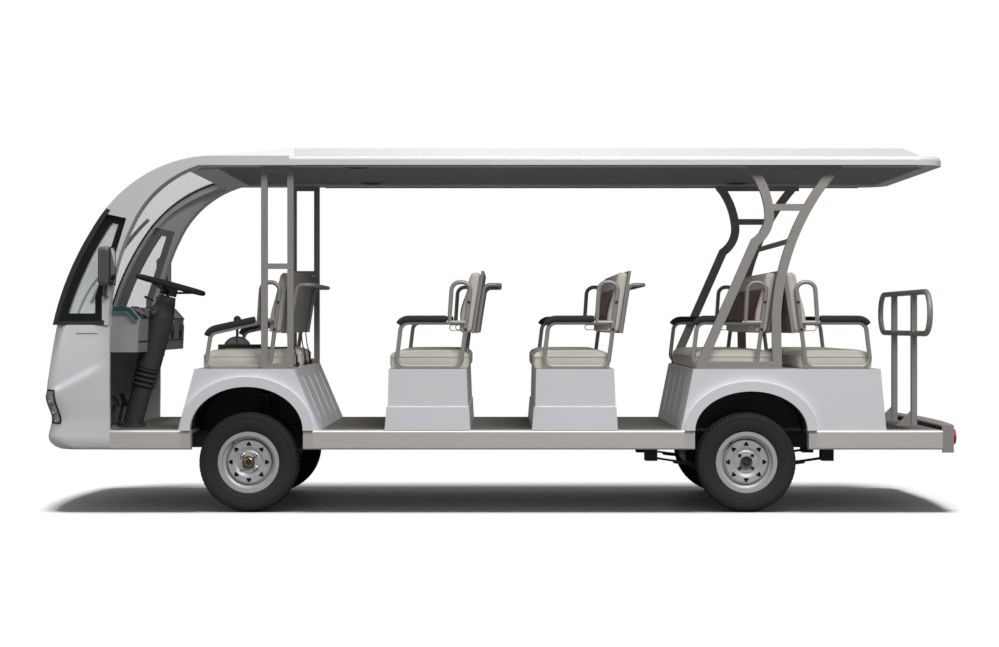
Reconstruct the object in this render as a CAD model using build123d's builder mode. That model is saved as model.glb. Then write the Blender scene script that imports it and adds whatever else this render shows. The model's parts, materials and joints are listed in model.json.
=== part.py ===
from build123d import *
from math import acos, cos, hypot, radians, sin, tan

# Open electric sightseeing car with five bench rows, in millimetres.
# X points forward, Y to the vehicle's left, Z up; the origin lies on the floor under mid-wheelbase.

# Wheels and track
WHEELBASE = 2770
AXLE_X = WHEELBASE / 2
WHEEL_Y = 580
TYRE_RADIUS = 277
TYRE_WIDTH = 155
TREAD_WIDTH = 118
SHOULDER_RADIUS = 22
AXLE_Z = TYRE_RADIUS
RIM_HALF_WIDTH = 62
RIM_LIP_RADIUS = 170.5
BEAD_RADIUS = 153
DROP_RADIUS = 134
RIM_WALL = 5
RIM_GAP = 0.3
DISC_OUTER_Y = 40
DISC_THICKNESS = 7
VENT_COUNT = 8
VENT_RADIUS = 99
HUB_FACE_RADIUS = 66
LUG_COUNT = 4
LUG_CIRCLE_RADIUS = 50
LUG_HOLE_RADIUS = 9
DRUM_RADIUS = 96
DRUM_INNER_Y = -38
SPINDLE_RADIUS = 17.5
SPINDLE_GAP = 0.5
HUB_CAP_RADIUS = 34
HUB_CAP_LENGTH = 14

# Steering
KINGPIN_Y = 490
KINGPIN_RADIUS = 14
KINGPIN_GAP = 0.5
UPRIGHT_HALF_HEIGHT = 85
UPRIGHT_WIDTH = 66
UPRIGHT_THICKNESS = 30
EYE_GAP = 6
EYE_HEIGHT = 20
EYE_RADIUS = 26
STEERING_ARM_LENGTH = 150
STEERING_ARM_Z = 232
STEERING_ARM_THICKNESS = 12
TRACK_ROD_RADIUS = 11
TRACK_ROD_GAP = 0.5
LOWER_ARM_HALF_BASE = 105
UPPER_ARM_HALF_BASE = 24

# Floor, rails and sills
FLOOR_TOP = 458
DECK_THICKNESS = 18
RAIL_Y = 320
RAIL_WIDTH = 60
RAIL_HEIGHT = 100
RAIL_FRONT_X = 2300
FRONT_WELL_Y = 288
REAR_WELL_Y = 470
SILL_BOTTOM = 352
SILL_INNER_Y = 650
SILL_PROUD = 10
SILL_FILLET = 12
FRONT_GATE_X = 2141
REAR_DECK_X = -2458
FRONT_WELL = (1074, 1696)
REAR_WELL = (-1720, -1090)

# Seat boxes
BOX_HALF_WIDTH = 700
SILL_OUTER_Y = BOX_HALF_WIDTH + SILL_PROUD
BOX_TOP = 798
BOX_WALL = 14
STEP_Z = 587
ARCH_LIP = 55
ARCH_LIP_DEPTH = 26
ROW_PITCH = 816

# Roof
ROOF_HALF_WIDTH = 790
ROOF_EDGE_BOTTOM = 1917
ROOF_EDGE_HEIGHT = 51
ROOF_EDGE_TOP = ROOF_EDGE_BOTTOM + ROOF_EDGE_HEIGHT
CROWN_HEIGHT = 65
ROOF_TOP = ROOF_EDGE_TOP + CROWN_HEIGHT
ROOF_SEAM_X = 1140
ROOF_REAR_X = -2460
ROOF_CORNER_RADIUS = 150
ROOF_CROWN_HALF_WIDTH = 600
ROOF_CROWN_REAR_X = -2360
ROOF_WALL = 22
LINING_THICKNESS = 16

# Seats
ARM_TUBE_RADIUS = 12
ARM_INSET = 20
ARM_Y = BOX_HALF_WIDTH - ARM_INSET
INNER_ARM_INSET = 66
INNER_ARM_Y = BOX_HALF_WIDTH - INNER_ARM_INSET
CUSHION_TOP = 900
CUSHION_FILLET = 26
BACK_BOTTOM = 995
BACK_TOP = 1341
BACK_LEAN = 54
BACK_DEPTH = 78
SHELL_DEPTH = 16
SEAT_GAP = 0.3

# Reach of cutting tools, more than the vehicle's own
BEYOND = 6000


def save(piece, name):
    """Labels a finished piece and writes it to its own file."""
    piece.part.label = name
    export_step(piece.part, f"parts/{name}.step")


def side_plane(y):
    """A plane along the vehicle's side: its x is forward, its y is up, its normal points to -Y."""
    return Plane(origin=(0, y, 0), x_dir=(1, 0, 0), z_dir=(0, -1, 0))


def cross_plane(x):
    """A plane across the vehicle: its x is to the left, its y is up, its normal points forward."""
    return Plane(origin=(x, 0, 0), x_dir=(0, 1, 0), z_dir=(1, 0, 0))


def bent_tube(points, bends, radius):
    """Adds a round tube along straight runs and tangent bends to the part being built."""
    with BuildLine() as path:
        if len(points) == 2:
            Line(*points)
        else:
            FilletPolyline(*points, radius=bends)
    with BuildSketch(Plane(origin=path.line @ 0, z_dir=path.line % 0)) as section:
        Circle(radius)
    sweep(sections=section.sketch, path=path.line)


def side_bar(points, y_inner, y_outer, mode=Mode.ADD):
    """Adds a prism whose outline is drawn on the vehicle's side, between two distances from the middle."""
    with BuildSketch(side_plane(y_outer)) as outline:
        with BuildLine():
            Polyline(*points, close=True)
        make_face()
    extrude(outline.sketch, amount=y_outer - y_inner, mode=mode)


# Chassis ladder: two rails, cross members and the damper towers over the front axle
RAIL_TOP = FLOOR_TOP - DECK_THICKNESS
RAIL_Z = RAIL_TOP - RAIL_HEIGHT / 2
CROSS_MEMBER_XS = (2180, 1720, 1260, 800, 340, -120, -580, -1020, -1540, -2000, -2428)
CROSS_MEMBER_SIZE = 60
TOWER_X = 1314
TOWER_WIDTH = 84
TOWER_TOP = 640
TOWER_CAP = 10
DAMPER_Y = 390
HANGER_LENGTH = 78
HANGER_THICKNESS = 10
HANGER_WIDTH = 70
SPRING_EYE_X = (-880, -1890)
SPRING_WIDTH = 56
TOW_PIN_RADIUS = 13
TOW_PLATE_THICKNESS = 16
TOW_PLATE_HALF_WIDTH = 45
TOW_BLOCK_HALF_WIDTH = 60
# Columns: cross member that carries the towing eye, pin position, bottom of the plate
TOW_EYES = ((CROSS_MEMBER_XS[0], 2450, 318), (CROSS_MEMBER_XS[-1], -2515, 315))
with BuildPart() as chassis_frame:
    for side in (1, -1):
        with BuildSketch(cross_plane(REAR_DECK_X)):
            with Locations((side * RAIL_Y, RAIL_Z)):
                Rectangle(RAIL_WIDTH, RAIL_HEIGHT)
        extrude(amount=RAIL_FRONT_X - REAR_DECK_X)
        tower_outer = DAMPER_Y + TOWER_WIDTH / 2
        tower_inner = RAIL_Y - RAIL_WIDTH / 2
        with Locations((TOWER_X, side * RAIL_Y, (RAIL_TOP + TOWER_TOP) / 2)):
            Box(TOWER_WIDTH, RAIL_WIDTH / 2, TOWER_TOP - RAIL_TOP)
        with Locations((TOWER_X, side * (tower_inner + tower_outer) / 2, TOWER_TOP + TOWER_CAP / 2)):
            Box(TOWER_WIDTH, tower_outer - tower_inner, TOWER_CAP)
        for eye_x in SPRING_EYE_X:
            for cheek in (-1, 1):
                cheek_y = side * RAIL_Y + cheek * (SPRING_WIDTH / 2 + HANGER_THICKNESS / 2 + SEAT_GAP)
                with Locations((eye_x, cheek_y, RAIL_TOP - RAIL_HEIGHT - HANGER_LENGTH / 2)):
                    Box(HANGER_WIDTH, HANGER_THICKNESS, HANGER_LENGTH)
    for member_x in CROSS_MEMBER_XS:
        with Locations((member_x, 0, RAIL_Z)):
            Box(CROSS_MEMBER_SIZE, 2 * RAIL_Y, CROSS_MEMBER_SIZE)
    for member_x, pin_x, plate_z in TOW_EYES:
        block_height = RAIL_Z - plate_z
        with Locations((member_x, 0, plate_z + block_height / 2)):
            Box(CROSS_MEMBER_SIZE, 2 * TOW_BLOCK_HALF_WIDTH, block_height)
        with BuildSketch(Plane.XY.offset(plate_z)):
            with Locations(((member_x + pin_x) / 2, 0)):
                Rectangle(abs(pin_x - member_x), 2 * TOW_PLATE_HALF_WIDTH)
            with Locations((pin_x, 0)):
                Circle(TOW_PLATE_HALF_WIDTH)
                Circle(TOW_PIN_RADIUS, mode=Mode.SUBTRACT)
        extrude(amount=TOW_PLATE_THICKNESS)
save(chassis_frame, "chassis_frame")

# Floor deck with the four wheel wells cut out of its edges
with BuildPart() as floor_deck:
    with BuildSketch(Plane.XY.offset(RAIL_TOP)):
        with Locations(((FRONT_GATE_X + REAR_DECK_X) / 2, 0)):
            Rectangle(FRONT_GATE_X - REAR_DECK_X, 2 * SILL_INNER_Y)
        for (well_rear, well_front), well_y in ((FRONT_WELL, FRONT_WELL_Y), (REAR_WELL, REAR_WELL_Y)):
            for side in (1, -1):
                with Locations(((well_rear + well_front) / 2, side * (well_y + SILL_OUTER_Y) / 2)):
                    Rectangle(well_front - well_rear, SILL_OUTER_Y - well_y, mode=Mode.SUBTRACT)
    extrude(amount=DECK_THICKNESS)
save(floor_deck, "floor_deck")

# Sills: three lengths a side between the wheels
with BuildPart() as sill_panels:
    for sill_rear, sill_front in (
        (FRONT_WELL[1], FRONT_GATE_X),
        (REAR_WELL[1], FRONT_WELL[0]),
        (REAR_DECK_X, REAR_WELL[0]),
    ):
        for side in (1, -1):
            with BuildSketch(cross_plane(sill_rear)) as sill_section:
                with Locations((side * (SILL_INNER_Y + SILL_OUTER_Y) / 2, (SILL_BOTTOM + FLOOR_TOP) / 2)):
                    Rectangle(SILL_OUTER_Y - SILL_INNER_Y, FLOOR_TOP - SILL_BOTTOM)
                outer_corners = sill_section.vertices().sort_by(Axis.X)
                fillet(outer_corners[-2:] if side > 0 else outer_corners[:2], radius=SILL_FILLET)
            extrude(amount=sill_front - sill_rear)
save(sill_panels, "sill_panels")

# Seat boxes: outline on the side, hollow and open below
# Each outline runs from the front foot over the top to the rear foot
PEDESTAL_OUTLINE = (
    (625, FLOOR_TOP), (614, STEP_Z), (607, STEP_Z), (602, BOX_TOP),
    (171, BOX_TOP), (163, STEP_Z), (158, STEP_Z), (151, FLOOR_TOP),
)
FRONT_BOX_OUTLINE = ((1768, FLOOR_TOP), (1675, BOX_TOP), (1126, BOX_TOP), (982, FLOOR_TOP))
REAR_BOX_OUTLINE = ((-1015, FLOOR_TOP), (-1083, BOX_TOP), (-2118, BOX_TOP), (-2149, FLOOR_TOP))


def seat_box(outline, arch_x=None, arch_half_width=None, arch_top=None):
    """Returns a hollow seat box; with an arch it also gets wheel openings with raised lips."""
    with BuildPart() as box:
        side_bar(outline, -BOX_HALF_WIDTH, BOX_HALF_WIDTH)
        foot = box.faces().sort_by(Axis.Z)[0]
        offset(amount=-BOX_WALL, openings=foot, kind=Kind.INTERSECTION)
        if arch_x is not None:
            arch_height = arch_top - FLOOR_TOP
            for side in (1, -1):
                lip_y = BOX_HALF_WIDTH if side < 0 else BOX_HALF_WIDTH + ARCH_LIP_DEPTH
                with BuildSketch(side_plane(side * lip_y)):
                    with Locations((arch_x, FLOOR_TOP)):
                        Ellipse(arch_half_width + ARCH_LIP, arch_height + ARCH_LIP)
                        Rectangle(
                            3 * arch_half_width, 2 * arch_height, align=(Align.CENTER, Align.MAX),
                            mode=Mode.SUBTRACT,
                        )
                extrude(amount=ARCH_LIP_DEPTH)
            with BuildSketch(side_plane(0)):
                with Locations((arch_x, FLOOR_TOP)):
                    Ellipse(arch_half_width, arch_height)
            extrude(amount=2 * BOX_HALF_WIDTH, both=True, mode=Mode.SUBTRACT)
    return box


FRONT_ARCH_HALF_WIDTH = 311
FRONT_ARCH_TOP = 700
REAR_ARCH_X = -1400
REAR_ARCH_HALF_WIDTH = 310
REAR_ARCH_TOP = 675
front_wheel_box = seat_box(FRONT_BOX_OUTLINE, AXLE_X, FRONT_ARCH_HALF_WIDTH, FRONT_ARCH_TOP)
save(front_wheel_box, "front_wheel_box")
rear_wheel_box = seat_box(REAR_BOX_OUTLINE, REAR_ARCH_X, REAR_ARCH_HALF_WIDTH, REAR_ARCH_TOP)
save(rear_wheel_box, "rear_wheel_box")
for row, shift in ((2, 0), (3, -ROW_PITCH)):
    pedestal = seat_box(tuple((x + shift, z) for x, z in PEDESTAL_OUTLINE))
    save(pedestal, f"seat_pedestal_row{row}")

# Wheel liners: thin arches inside the wheel boxes, closed towards the middle
LINER_WALL = 5
LINER_GAP = 3
with BuildPart() as wheel_liners:
    liner_outer_y = BOX_HALF_WIDTH - BOX_WALL - SEAT_GAP
    # Columns: arch centre, arch half width, arch top, inner wall from the middle
    for arch_x, arch_half_width, arch_top, inner_y in (
        (AXLE_X, FRONT_ARCH_HALF_WIDTH, FRONT_ARCH_TOP, FRONT_WELL_Y),
        (REAR_ARCH_X, REAR_ARCH_HALF_WIDTH, REAR_ARCH_TOP, REAR_WELL_Y),
    ):
        for growth, wall, mode in (
            (LINER_GAP + LINER_WALL, LINER_WALL, Mode.ADD), (LINER_GAP, 0, Mode.SUBTRACT)
        ):
            for plane_y in (liner_outer_y, wall - inner_y):
                with BuildSketch(side_plane(plane_y)):
                    with Locations((arch_x, FLOOR_TOP)):
                        Ellipse(arch_half_width + growth, arch_top - FLOOR_TOP + growth)
                    with Locations((arch_x, FLOOR_TOP + SEAT_GAP)):
                        Rectangle(BEYOND, BEYOND, align=(Align.CENTER, Align.MAX), mode=Mode.SUBTRACT)
                extrude(amount=liner_outer_y - inner_y + wall, mode=mode)
save(wheel_liners, "wheel_liners")

# Battery: one block in each pedestal, standing on the deck
BATTERY_LENGTH = 380
BATTERY_CLEARANCE = 111
BATTERY_WIDTH = 2 * (BOX_HALF_WIDTH - BOX_WALL - BATTERY_CLEARANCE)
BATTERY_HEIGHT = 260
BATTERY_X = 388
with BuildPart() as battery_pack:
    for shift in (0, -ROW_PITCH):
        with Locations((BATTERY_X + shift, 0, FLOOR_TOP + BATTERY_HEIGHT / 2)):
            Box(BATTERY_LENGTH, BATTERY_WIDTH, BATTERY_HEIGHT)
save(battery_pack, "battery_pack")

# Nose: a loft of plan sections, each with straight flanks, round corners and a bowed front
# Columns: height, front at the corners, flank distance from the middle
NOSE_SECTIONS = (
    (352, 2440, 690),
    (420, 2506, 712),
    (534, 2488, 712),
    (667, 2515, 720),
    (836, 2494, 720),
    (1041, 2458, 716),
)
NOSE_BOW = 55
NOSE_CORNER_Y = 600
NOSE_CORNER_RADIUS = 130
NOSE_WALL = 28


def nose_outline(front_x, flank_y, inset):
    """Draws one plan section: rear edge, flanks, corner arcs and the bowed front."""
    front = front_x - inset
    flank = flank_y - inset
    turn_x = front - NOSE_CORNER_RADIUS
    with BuildLine() as outline:
        Line((FRONT_GATE_X, -flank), (FRONT_GATE_X, flank))
        Line((FRONT_GATE_X, flank), (turn_x, flank))
        left_turn = ThreePointArc(
            (turn_x, flank), (front - 0.3 * NOSE_CORNER_RADIUS, flank - 38), (front, NOSE_CORNER_Y)
        )
        ThreePointArc(left_turn @ 1, (front + NOSE_BOW, 0), (front, -NOSE_CORNER_Y))
        ThreePointArc(
            (front, -NOSE_CORNER_Y), (front - 0.3 * NOSE_CORNER_RADIUS, -flank + 38), (turn_x, -flank)
        )
        Line((turn_x, -flank), (FRONT_GATE_X, -flank))
    make_face(outline.edges())


def nose_body(inset):
    """Returns the nose as a solid, drawn in from its outer skin by the inset."""
    with BuildPart() as body:
        for height, front_x, flank_y in NOSE_SECTIONS:
            with BuildSketch(Plane.XY.offset(height)):
                nose_outline(front_x, flank_y, inset)
        loft()
    return body.part


nose_solid = nose_body(0)
nose_core = nose_body(NOSE_WALL)
LAMP_Z = (500, 690)
LAMP_FRONT_X = 2530
LAMP_REAR_X = 2385
LAMP_INNER_Y = 560
with BuildPart() as lamp_region:
    for side in (1, -1):
        with BuildSketch(cross_plane(LAMP_REAR_X)):
            with BuildLine():
                Polyline(
                    (side * (LAMP_INNER_Y + 60), LAMP_Z[0]), (side * 800, LAMP_Z[0] + 30),
                    (side * 800, LAMP_Z[1]), (side * LAMP_INNER_Y, LAMP_Z[1] - 40), close=True,
                )
            make_face()
        extrude(amount=LAMP_FRONT_X - LAMP_REAR_X)
with BuildPart() as nose_void:
    add(nose_core)
    with Locations((FRONT_GATE_X, 0, (RAIL_TOP + FLOOR_TOP) / 2)):
        Box(2 * NOSE_SECTIONS[0][1], 3 * SILL_OUTER_Y, DECK_THICKNESS, mode=Mode.SUBTRACT)
with BuildPart() as nose_shell:
    add(nose_solid)
    add(nose_void.part, mode=Mode.SUBTRACT)
    add(lamp_region.part, mode=Mode.SUBTRACT)
save(nose_shell, "nose_shell")
with BuildPart() as headlamps:
    add(nose_solid)
    add(nose_core, mode=Mode.SUBTRACT)
    add(lamp_region.part, mode=Mode.INTERSECT)
save(headlamps, "headlamps")

# Front cap: side rails that sweep up from the nose into the front of the roof
NOSE_TOP = NOSE_SECTIONS[-1][0]
NOSE_TOP_X = NOSE_SECTIONS[-1][1]
BROW_X = 1705
RAIL_PANEL_Y = 660
GLASS_HALF_WIDTH = 596
PILLAR_DEPTH = 45
GLASS_THICKNESS = 8
GLASS_BOW = 30
SCREEN_POINTS = (
    (NOSE_TOP_X, NOSE_TOP), (2361, NOSE_TOP + 299), (2212, ROOF_EDGE_TOP - 357), (2041, ROOF_EDGE_TOP - 172),
    (1600, ROOF_EDGE_TOP),
)
DOOR_EDGE = (
    (1636, ROOF_EDGE_BOTTOM), (1875, ROOF_EDGE_BOTTOM - 137), (2016, ROOF_EDGE_BOTTOM - 334),
    (2093, NOSE_TOP + 345), (FRONT_GATE_X, NOSE_TOP),
)


def screen_line(inset):
    """Draws the front outline of the cab from the nose to the roof, drawn in by the inset."""
    foot, belly, shoulder, brow, roof = SCREEN_POINTS
    lower = ThreePointArc(
        (foot[0] - inset, foot[1]), (belly[0] - inset, belly[1]), (shoulder[0] - inset, shoulder[1])
    )
    upper = TangentArc(lower @ 1, (brow[0] - 0.7 * inset, brow[1] - 0.6 * inset), tangent=lower % 1)
    return lower, upper, TangentArc(upper @ 1, (roof[0], roof[1] - inset), tangent=upper % 1)


def screen_band(depth):
    """Draws a strip of the given depth along the inside of the cab's front outline."""
    with BuildLine() as band:
        outer_lower, outer_upper, outer_top = screen_line(0)
        inner_lower, inner_upper, inner_top = screen_line(depth)
        Line(outer_lower @ 0, inner_lower @ 0)
        Line(outer_top @ 1, inner_top @ 1)
    make_face(band.edges())


def quarter_window(inset):
    """Draws the wedge of a quarter window on the side, drawn in by the inset."""
    with BuildLine() as wedge:
        front = ThreePointArc((2428, NOSE_TOP + 22), (2330, NOSE_TOP + 294), (2150, ROOF_EDGE_TOP - 316))
        top = Line(front @ 1, (2040, ROOF_EDGE_TOP - 340))
        slant = Line(top @ 1, (2180, NOSE_TOP + 149))
        post = Line(slant @ 1, (2180, NOSE_TOP + 22))
        Line(post @ 1, front @ 0)
    make_face(wedge.edges())
    if inset:
        offset(amount=-inset, kind=Kind.INTERSECTION, mode=Mode.REPLACE)


CAP_SHOULDER_X = 1500
CAP_CHEEK = (2250, 712)
CAP_FRONT = (2500, 700)
with BuildPart() as cap_plan:
    with BuildSketch(Plane.XY.offset(NOSE_TOP)):
        with BuildLine():
            seam = Line((ROOF_SEAM_X, 0), (ROOF_SEAM_X, ROOF_HALF_WIDTH))
            edge = Line(seam @ 1, (CAP_SHOULDER_X, ROOF_HALF_WIDTH))
            turn = TangentArc(edge @ 1, CAP_CHEEK, tangent=edge % 1)
            cheek = Line(turn @ 1, CAP_FRONT)
            Line(cheek @ 1, (CAP_FRONT[0], 0))
            mirror(about=Plane.XZ)
        make_face()
    extrude(amount=ROOF_TOP)

# Roof: a rimmed slab with a raised crown, hollow under its lining
CROWN_TOP_HALF_WIDTH = 545
CROWN_FRONT_X = 1690
CROWN_FRONT_DROP = 45
CROWN_END_CHAMFER = (40, 90)
POCKET_HALF_WIDTH = 655
POCKET_DEPTH = 29
POCKET_TOP = ROOF_EDGE_BOTTOM + POCKET_DEPTH
POCKET_FRONT_X = 1560
POCKET_REAR_X = -2370
ROOF_EDGE_FILLET = 24


def crown_section(x, drop):
    """Draws the raised middle of the roof as a trapezoid across the vehicle."""
    with BuildSketch(cross_plane(x)) as section:
        with BuildLine():
            Polyline(
                (-ROOF_CROWN_HALF_WIDTH, POCKET_TOP - drop), (ROOF_CROWN_HALF_WIDTH, POCKET_TOP - drop),
                (CROWN_TOP_HALF_WIDTH, ROOF_TOP - drop), (-CROWN_TOP_HALF_WIDTH, ROOF_TOP - drop), close=True,
            )
        make_face()
    return section.sketch


with BuildPart() as front_cap:
    with BuildSketch(side_plane(ROOF_HALF_WIDTH + 1)):
        with BuildLine():
            lower_arc, upper_arc, roof_arc = screen_line(0)
            roof_line = Line(roof_arc @ 1, (ROOF_SEAM_X, ROOF_EDGE_TOP))
            seam = Line(roof_line @ 1, (ROOF_SEAM_X, ROOF_EDGE_BOTTOM))
            soffit = Line(seam @ 1, DOOR_EDGE[0])
            bend = ThreePointArc(soffit @ 1, DOOR_EDGE[1], DOOR_EDGE[2])
            post = ThreePointArc(bend @ 1, DOOR_EDGE[3], DOOR_EDGE[4])
            Line(post @ 1, lower_arc @ 0)
        make_face()
    extrude(amount=2 * ROOF_HALF_WIDTH + 2)
    add(cap_plan.part, mode=Mode.INTERSECT)
    with BuildSketch(Plane.XY.offset(NOSE_TOP)):
        with Locations((BROW_X, 0)):
            Rectangle(ROOF_TOP, 2 * RAIL_PANEL_Y, align=(Align.MIN, Align.CENTER))
    extrude(amount=ROOF_TOP, mode=Mode.SUBTRACT)
    for strip_y in (RAIL_PANEL_Y, -GLASS_HALF_WIDTH):
        with BuildSketch(side_plane(strip_y)):
            screen_band(PILLAR_DEPTH)
        extrude(amount=RAIL_PANEL_Y - GLASS_HALF_WIDTH)
    loft([crown_section(ROOF_SEAM_X, 0), crown_section(CROWN_FRONT_X, CROWN_FRONT_DROP)], ruled=True)
    with BuildSketch(side_plane(ROOF_HALF_WIDTH)):
        quarter_window(0)
    extrude(amount=2 * ROOF_HALF_WIDTH, mode=Mode.SUBTRACT)
    with BuildSketch(Plane.XY.offset(DOOR_EDGE[1][1])):
        with Locations((ROOF_SEAM_X, 0)):
            Rectangle(
                POCKET_FRONT_X - ROOF_SEAM_X, 2 * POCKET_HALF_WIDTH, align=(Align.MIN, Align.CENTER)
            )
    extrude(amount=POCKET_TOP - DOOR_EDGE[1][1], mode=Mode.SUBTRACT)
save(front_cap, "front_cap")

with BuildPart() as roof_panel:
    with BuildSketch(Plane.XY.offset(ROOF_EDGE_BOTTOM)) as roof_plan:
        with Locations((ROOF_SEAM_X, 0)):
            Rectangle(ROOF_SEAM_X - ROOF_REAR_X, 2 * ROOF_HALF_WIDTH, align=(Align.MAX, Align.CENTER))
        fillet(roof_plan.vertices().group_by(Axis.X)[0], radius=ROOF_CORNER_RADIUS)
    extrude(amount=ROOF_EDGE_TOP - ROOF_EDGE_BOTTOM)
    top_edges = roof_panel.faces().sort_by(Axis.Z)[-1].edges()
    fillet(top_edges.filter_by(lambda edge: edge.center().X < ROOF_SEAM_X - 1), radius=ROOF_EDGE_FILLET)
    extrude(crown_section(ROOF_SEAM_X, 0), amount=ROOF_CROWN_REAR_X - ROOF_SEAM_X)
    crown_end = roof_panel.faces().filter_by(Axis.X).sort_by(Axis.X)[0:2].sort_by(Axis.Z)[-1]
    drop, run = CROWN_END_CHAMFER
    chamfer(crown_end.edges().sort_by(Axis.Z)[-1], length=drop, length2=run, reference=crown_end)
    with BuildSketch(Plane.XY.offset(ROOF_EDGE_BOTTOM)):
        with Locations((ROOF_SEAM_X, 0)):
            Rectangle(ROOF_SEAM_X - POCKET_REAR_X, 2 * POCKET_HALF_WIDTH, align=(Align.MAX, Align.CENTER))
    extrude(amount=POCKET_TOP - ROOF_EDGE_BOTTOM, mode=Mode.SUBTRACT)
    with BuildSketch(Plane.XY.offset(POCKET_TOP)):
        with Locations((ROOF_SEAM_X - ROOF_WALL, 0)):
            Rectangle(
                ROOF_SEAM_X - ROOF_CROWN_REAR_X - 6 * ROOF_WALL, 2 * (CROWN_TOP_HALF_WIDTH - ROOF_WALL),
                align=(Align.MAX, Align.CENTER),
            )
    extrude(amount=ROOF_TOP - ROOF_WALL - POCKET_TOP, mode=Mode.SUBTRACT)
save(roof_panel, "roof_panel")

with BuildPart() as roof_lining:
    with BuildSketch(Plane.XY.offset(POCKET_TOP - LINING_THICKNESS)):
        with Locations(((POCKET_FRONT_X + POCKET_REAR_X) / 2, 0)):
            Rectangle(
                POCKET_FRONT_X - POCKET_REAR_X - 2 * SEAT_GAP, 2 * (POCKET_HALF_WIDTH - SEAT_GAP)
            )
    extrude(amount=LINING_THICKNESS)
save(roof_lining, "roof_lining")

# Windscreen: a bowed strip of glass carried along the front outline
with BuildPart() as windscreen:
    with BuildLine(side_plane(0)) as screen_path:
        screen_line(0)
    foot_plane = Plane(origin=screen_path.line @ 0, x_dir=(0, 1, 0), z_dir=screen_path.line % 0)
    edge_y = GLASS_HALF_WIDTH - SEAT_GAP
    with BuildSketch(foot_plane):
        with BuildLine():
            outside = ThreePointArc((-edge_y, 0), (0, -GLASS_BOW), (edge_y, 0))
            inside = ThreePointArc(
                (edge_y, GLASS_THICKNESS), (0, GLASS_THICKNESS - GLASS_BOW), (-edge_y, GLASS_THICKNESS)
            )
            Line(outside @ 1, inside @ 0)
            Line(inside @ 1, outside @ 0)
        make_face()
    sweep(path=screen_path.line)
    with Locations((NOSE_TOP_X, 0, NOSE_TOP + SEAT_GAP)):
        Box(BEYOND, BEYOND, BEYOND, align=(Align.CENTER, Align.CENTER, Align.MAX), mode=Mode.SUBTRACT)
    with Locations((BROW_X + SEAT_GAP, 0, ROOF_EDGE_TOP)):
        Box(BEYOND, BEYOND, BEYOND, align=(Align.MAX, Align.CENTER, Align.CENTER), mode=Mode.SUBTRACT)
save(windscreen, "windscreen")

# Quarter windows: black frames in the wedge openings, with the glass inside them
QUARTER_FRAME_WIDTH = 42
QUARTER_FRAME_Y = (664, 706)
QUARTER_GLASS_Y = (686, 692)
with BuildPart() as quarter_frames:
    for plane_y in (QUARTER_FRAME_Y[1], -QUARTER_FRAME_Y[0]):
        with BuildSketch(side_plane(plane_y)):
            quarter_window(SEAT_GAP)
        extrude(amount=QUARTER_FRAME_Y[1] - QUARTER_FRAME_Y[0])
    with BuildSketch(side_plane(ROOF_HALF_WIDTH)):
        quarter_window(QUARTER_FRAME_WIDTH)
    extrude(amount=2 * ROOF_HALF_WIDTH, mode=Mode.SUBTRACT)
save(quarter_frames, "quarter_frames")
with BuildPart() as quarter_windows:
    for plane_y in (QUARTER_GLASS_Y[1], -QUARTER_GLASS_Y[0]):
        with BuildSketch(side_plane(plane_y)):
            quarter_window(QUARTER_FRAME_WIDTH + SEAT_GAP)
        extrude(amount=QUARTER_GLASS_Y[1] - QUARTER_GLASS_Y[0])
save(quarter_windows, "quarter_windows")

# Roof frames: flat tube on each side, standing on the seat boxes under the rim of the roof
FRAME_DEPTH = 31
FRAME_OUTER_Y = BOX_HALF_WIDTH
FRAME_INNER_Y = FRAME_OUTER_Y - FRAME_DEPTH
FRONT_POST_X = (1290, 1145)
FRONT_POST_WIDTH = 34
FRONT_BAR_Z = (BOX_TOP, 1351, ROOF_EDGE_BOTTOM - 30)
FRONT_BAR_HEIGHT = 30
REAR_MEMBER_WIDTH = 50
REAR_BASE = (-1571, -1100)
REAR_BASE_HEIGHT = 40
REAR_TOP_RAIL = (-1905, -1385)
REAR_BAR_Z = 1692
CROSS_TUBE_RADIUS = 15
CROSS_TUBE = (-1629, 1510)
with BuildPart() as front_roof_frame:
    for frame_y in (FRAME_OUTER_Y, -FRAME_INNER_Y):
        with BuildSketch(side_plane(frame_y)):
            for post_x in FRONT_POST_X:
                with Locations((post_x, (BOX_TOP + ROOF_EDGE_BOTTOM) / 2)):
                    Rectangle(FRONT_POST_WIDTH, ROOF_EDGE_BOTTOM - BOX_TOP)
            for bar_z in FRONT_BAR_Z:
                with Locations((FRONT_POST_X[1], bar_z)):
                    Rectangle(
                        FRONT_POST_X[0] - FRONT_POST_X[1], FRONT_BAR_HEIGHT, align=(Align.MIN, Align.MIN)
                    )
        extrude(amount=FRAME_OUTER_Y - FRAME_INNER_Y)
save(front_roof_frame, "front_roof_frame")

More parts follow.
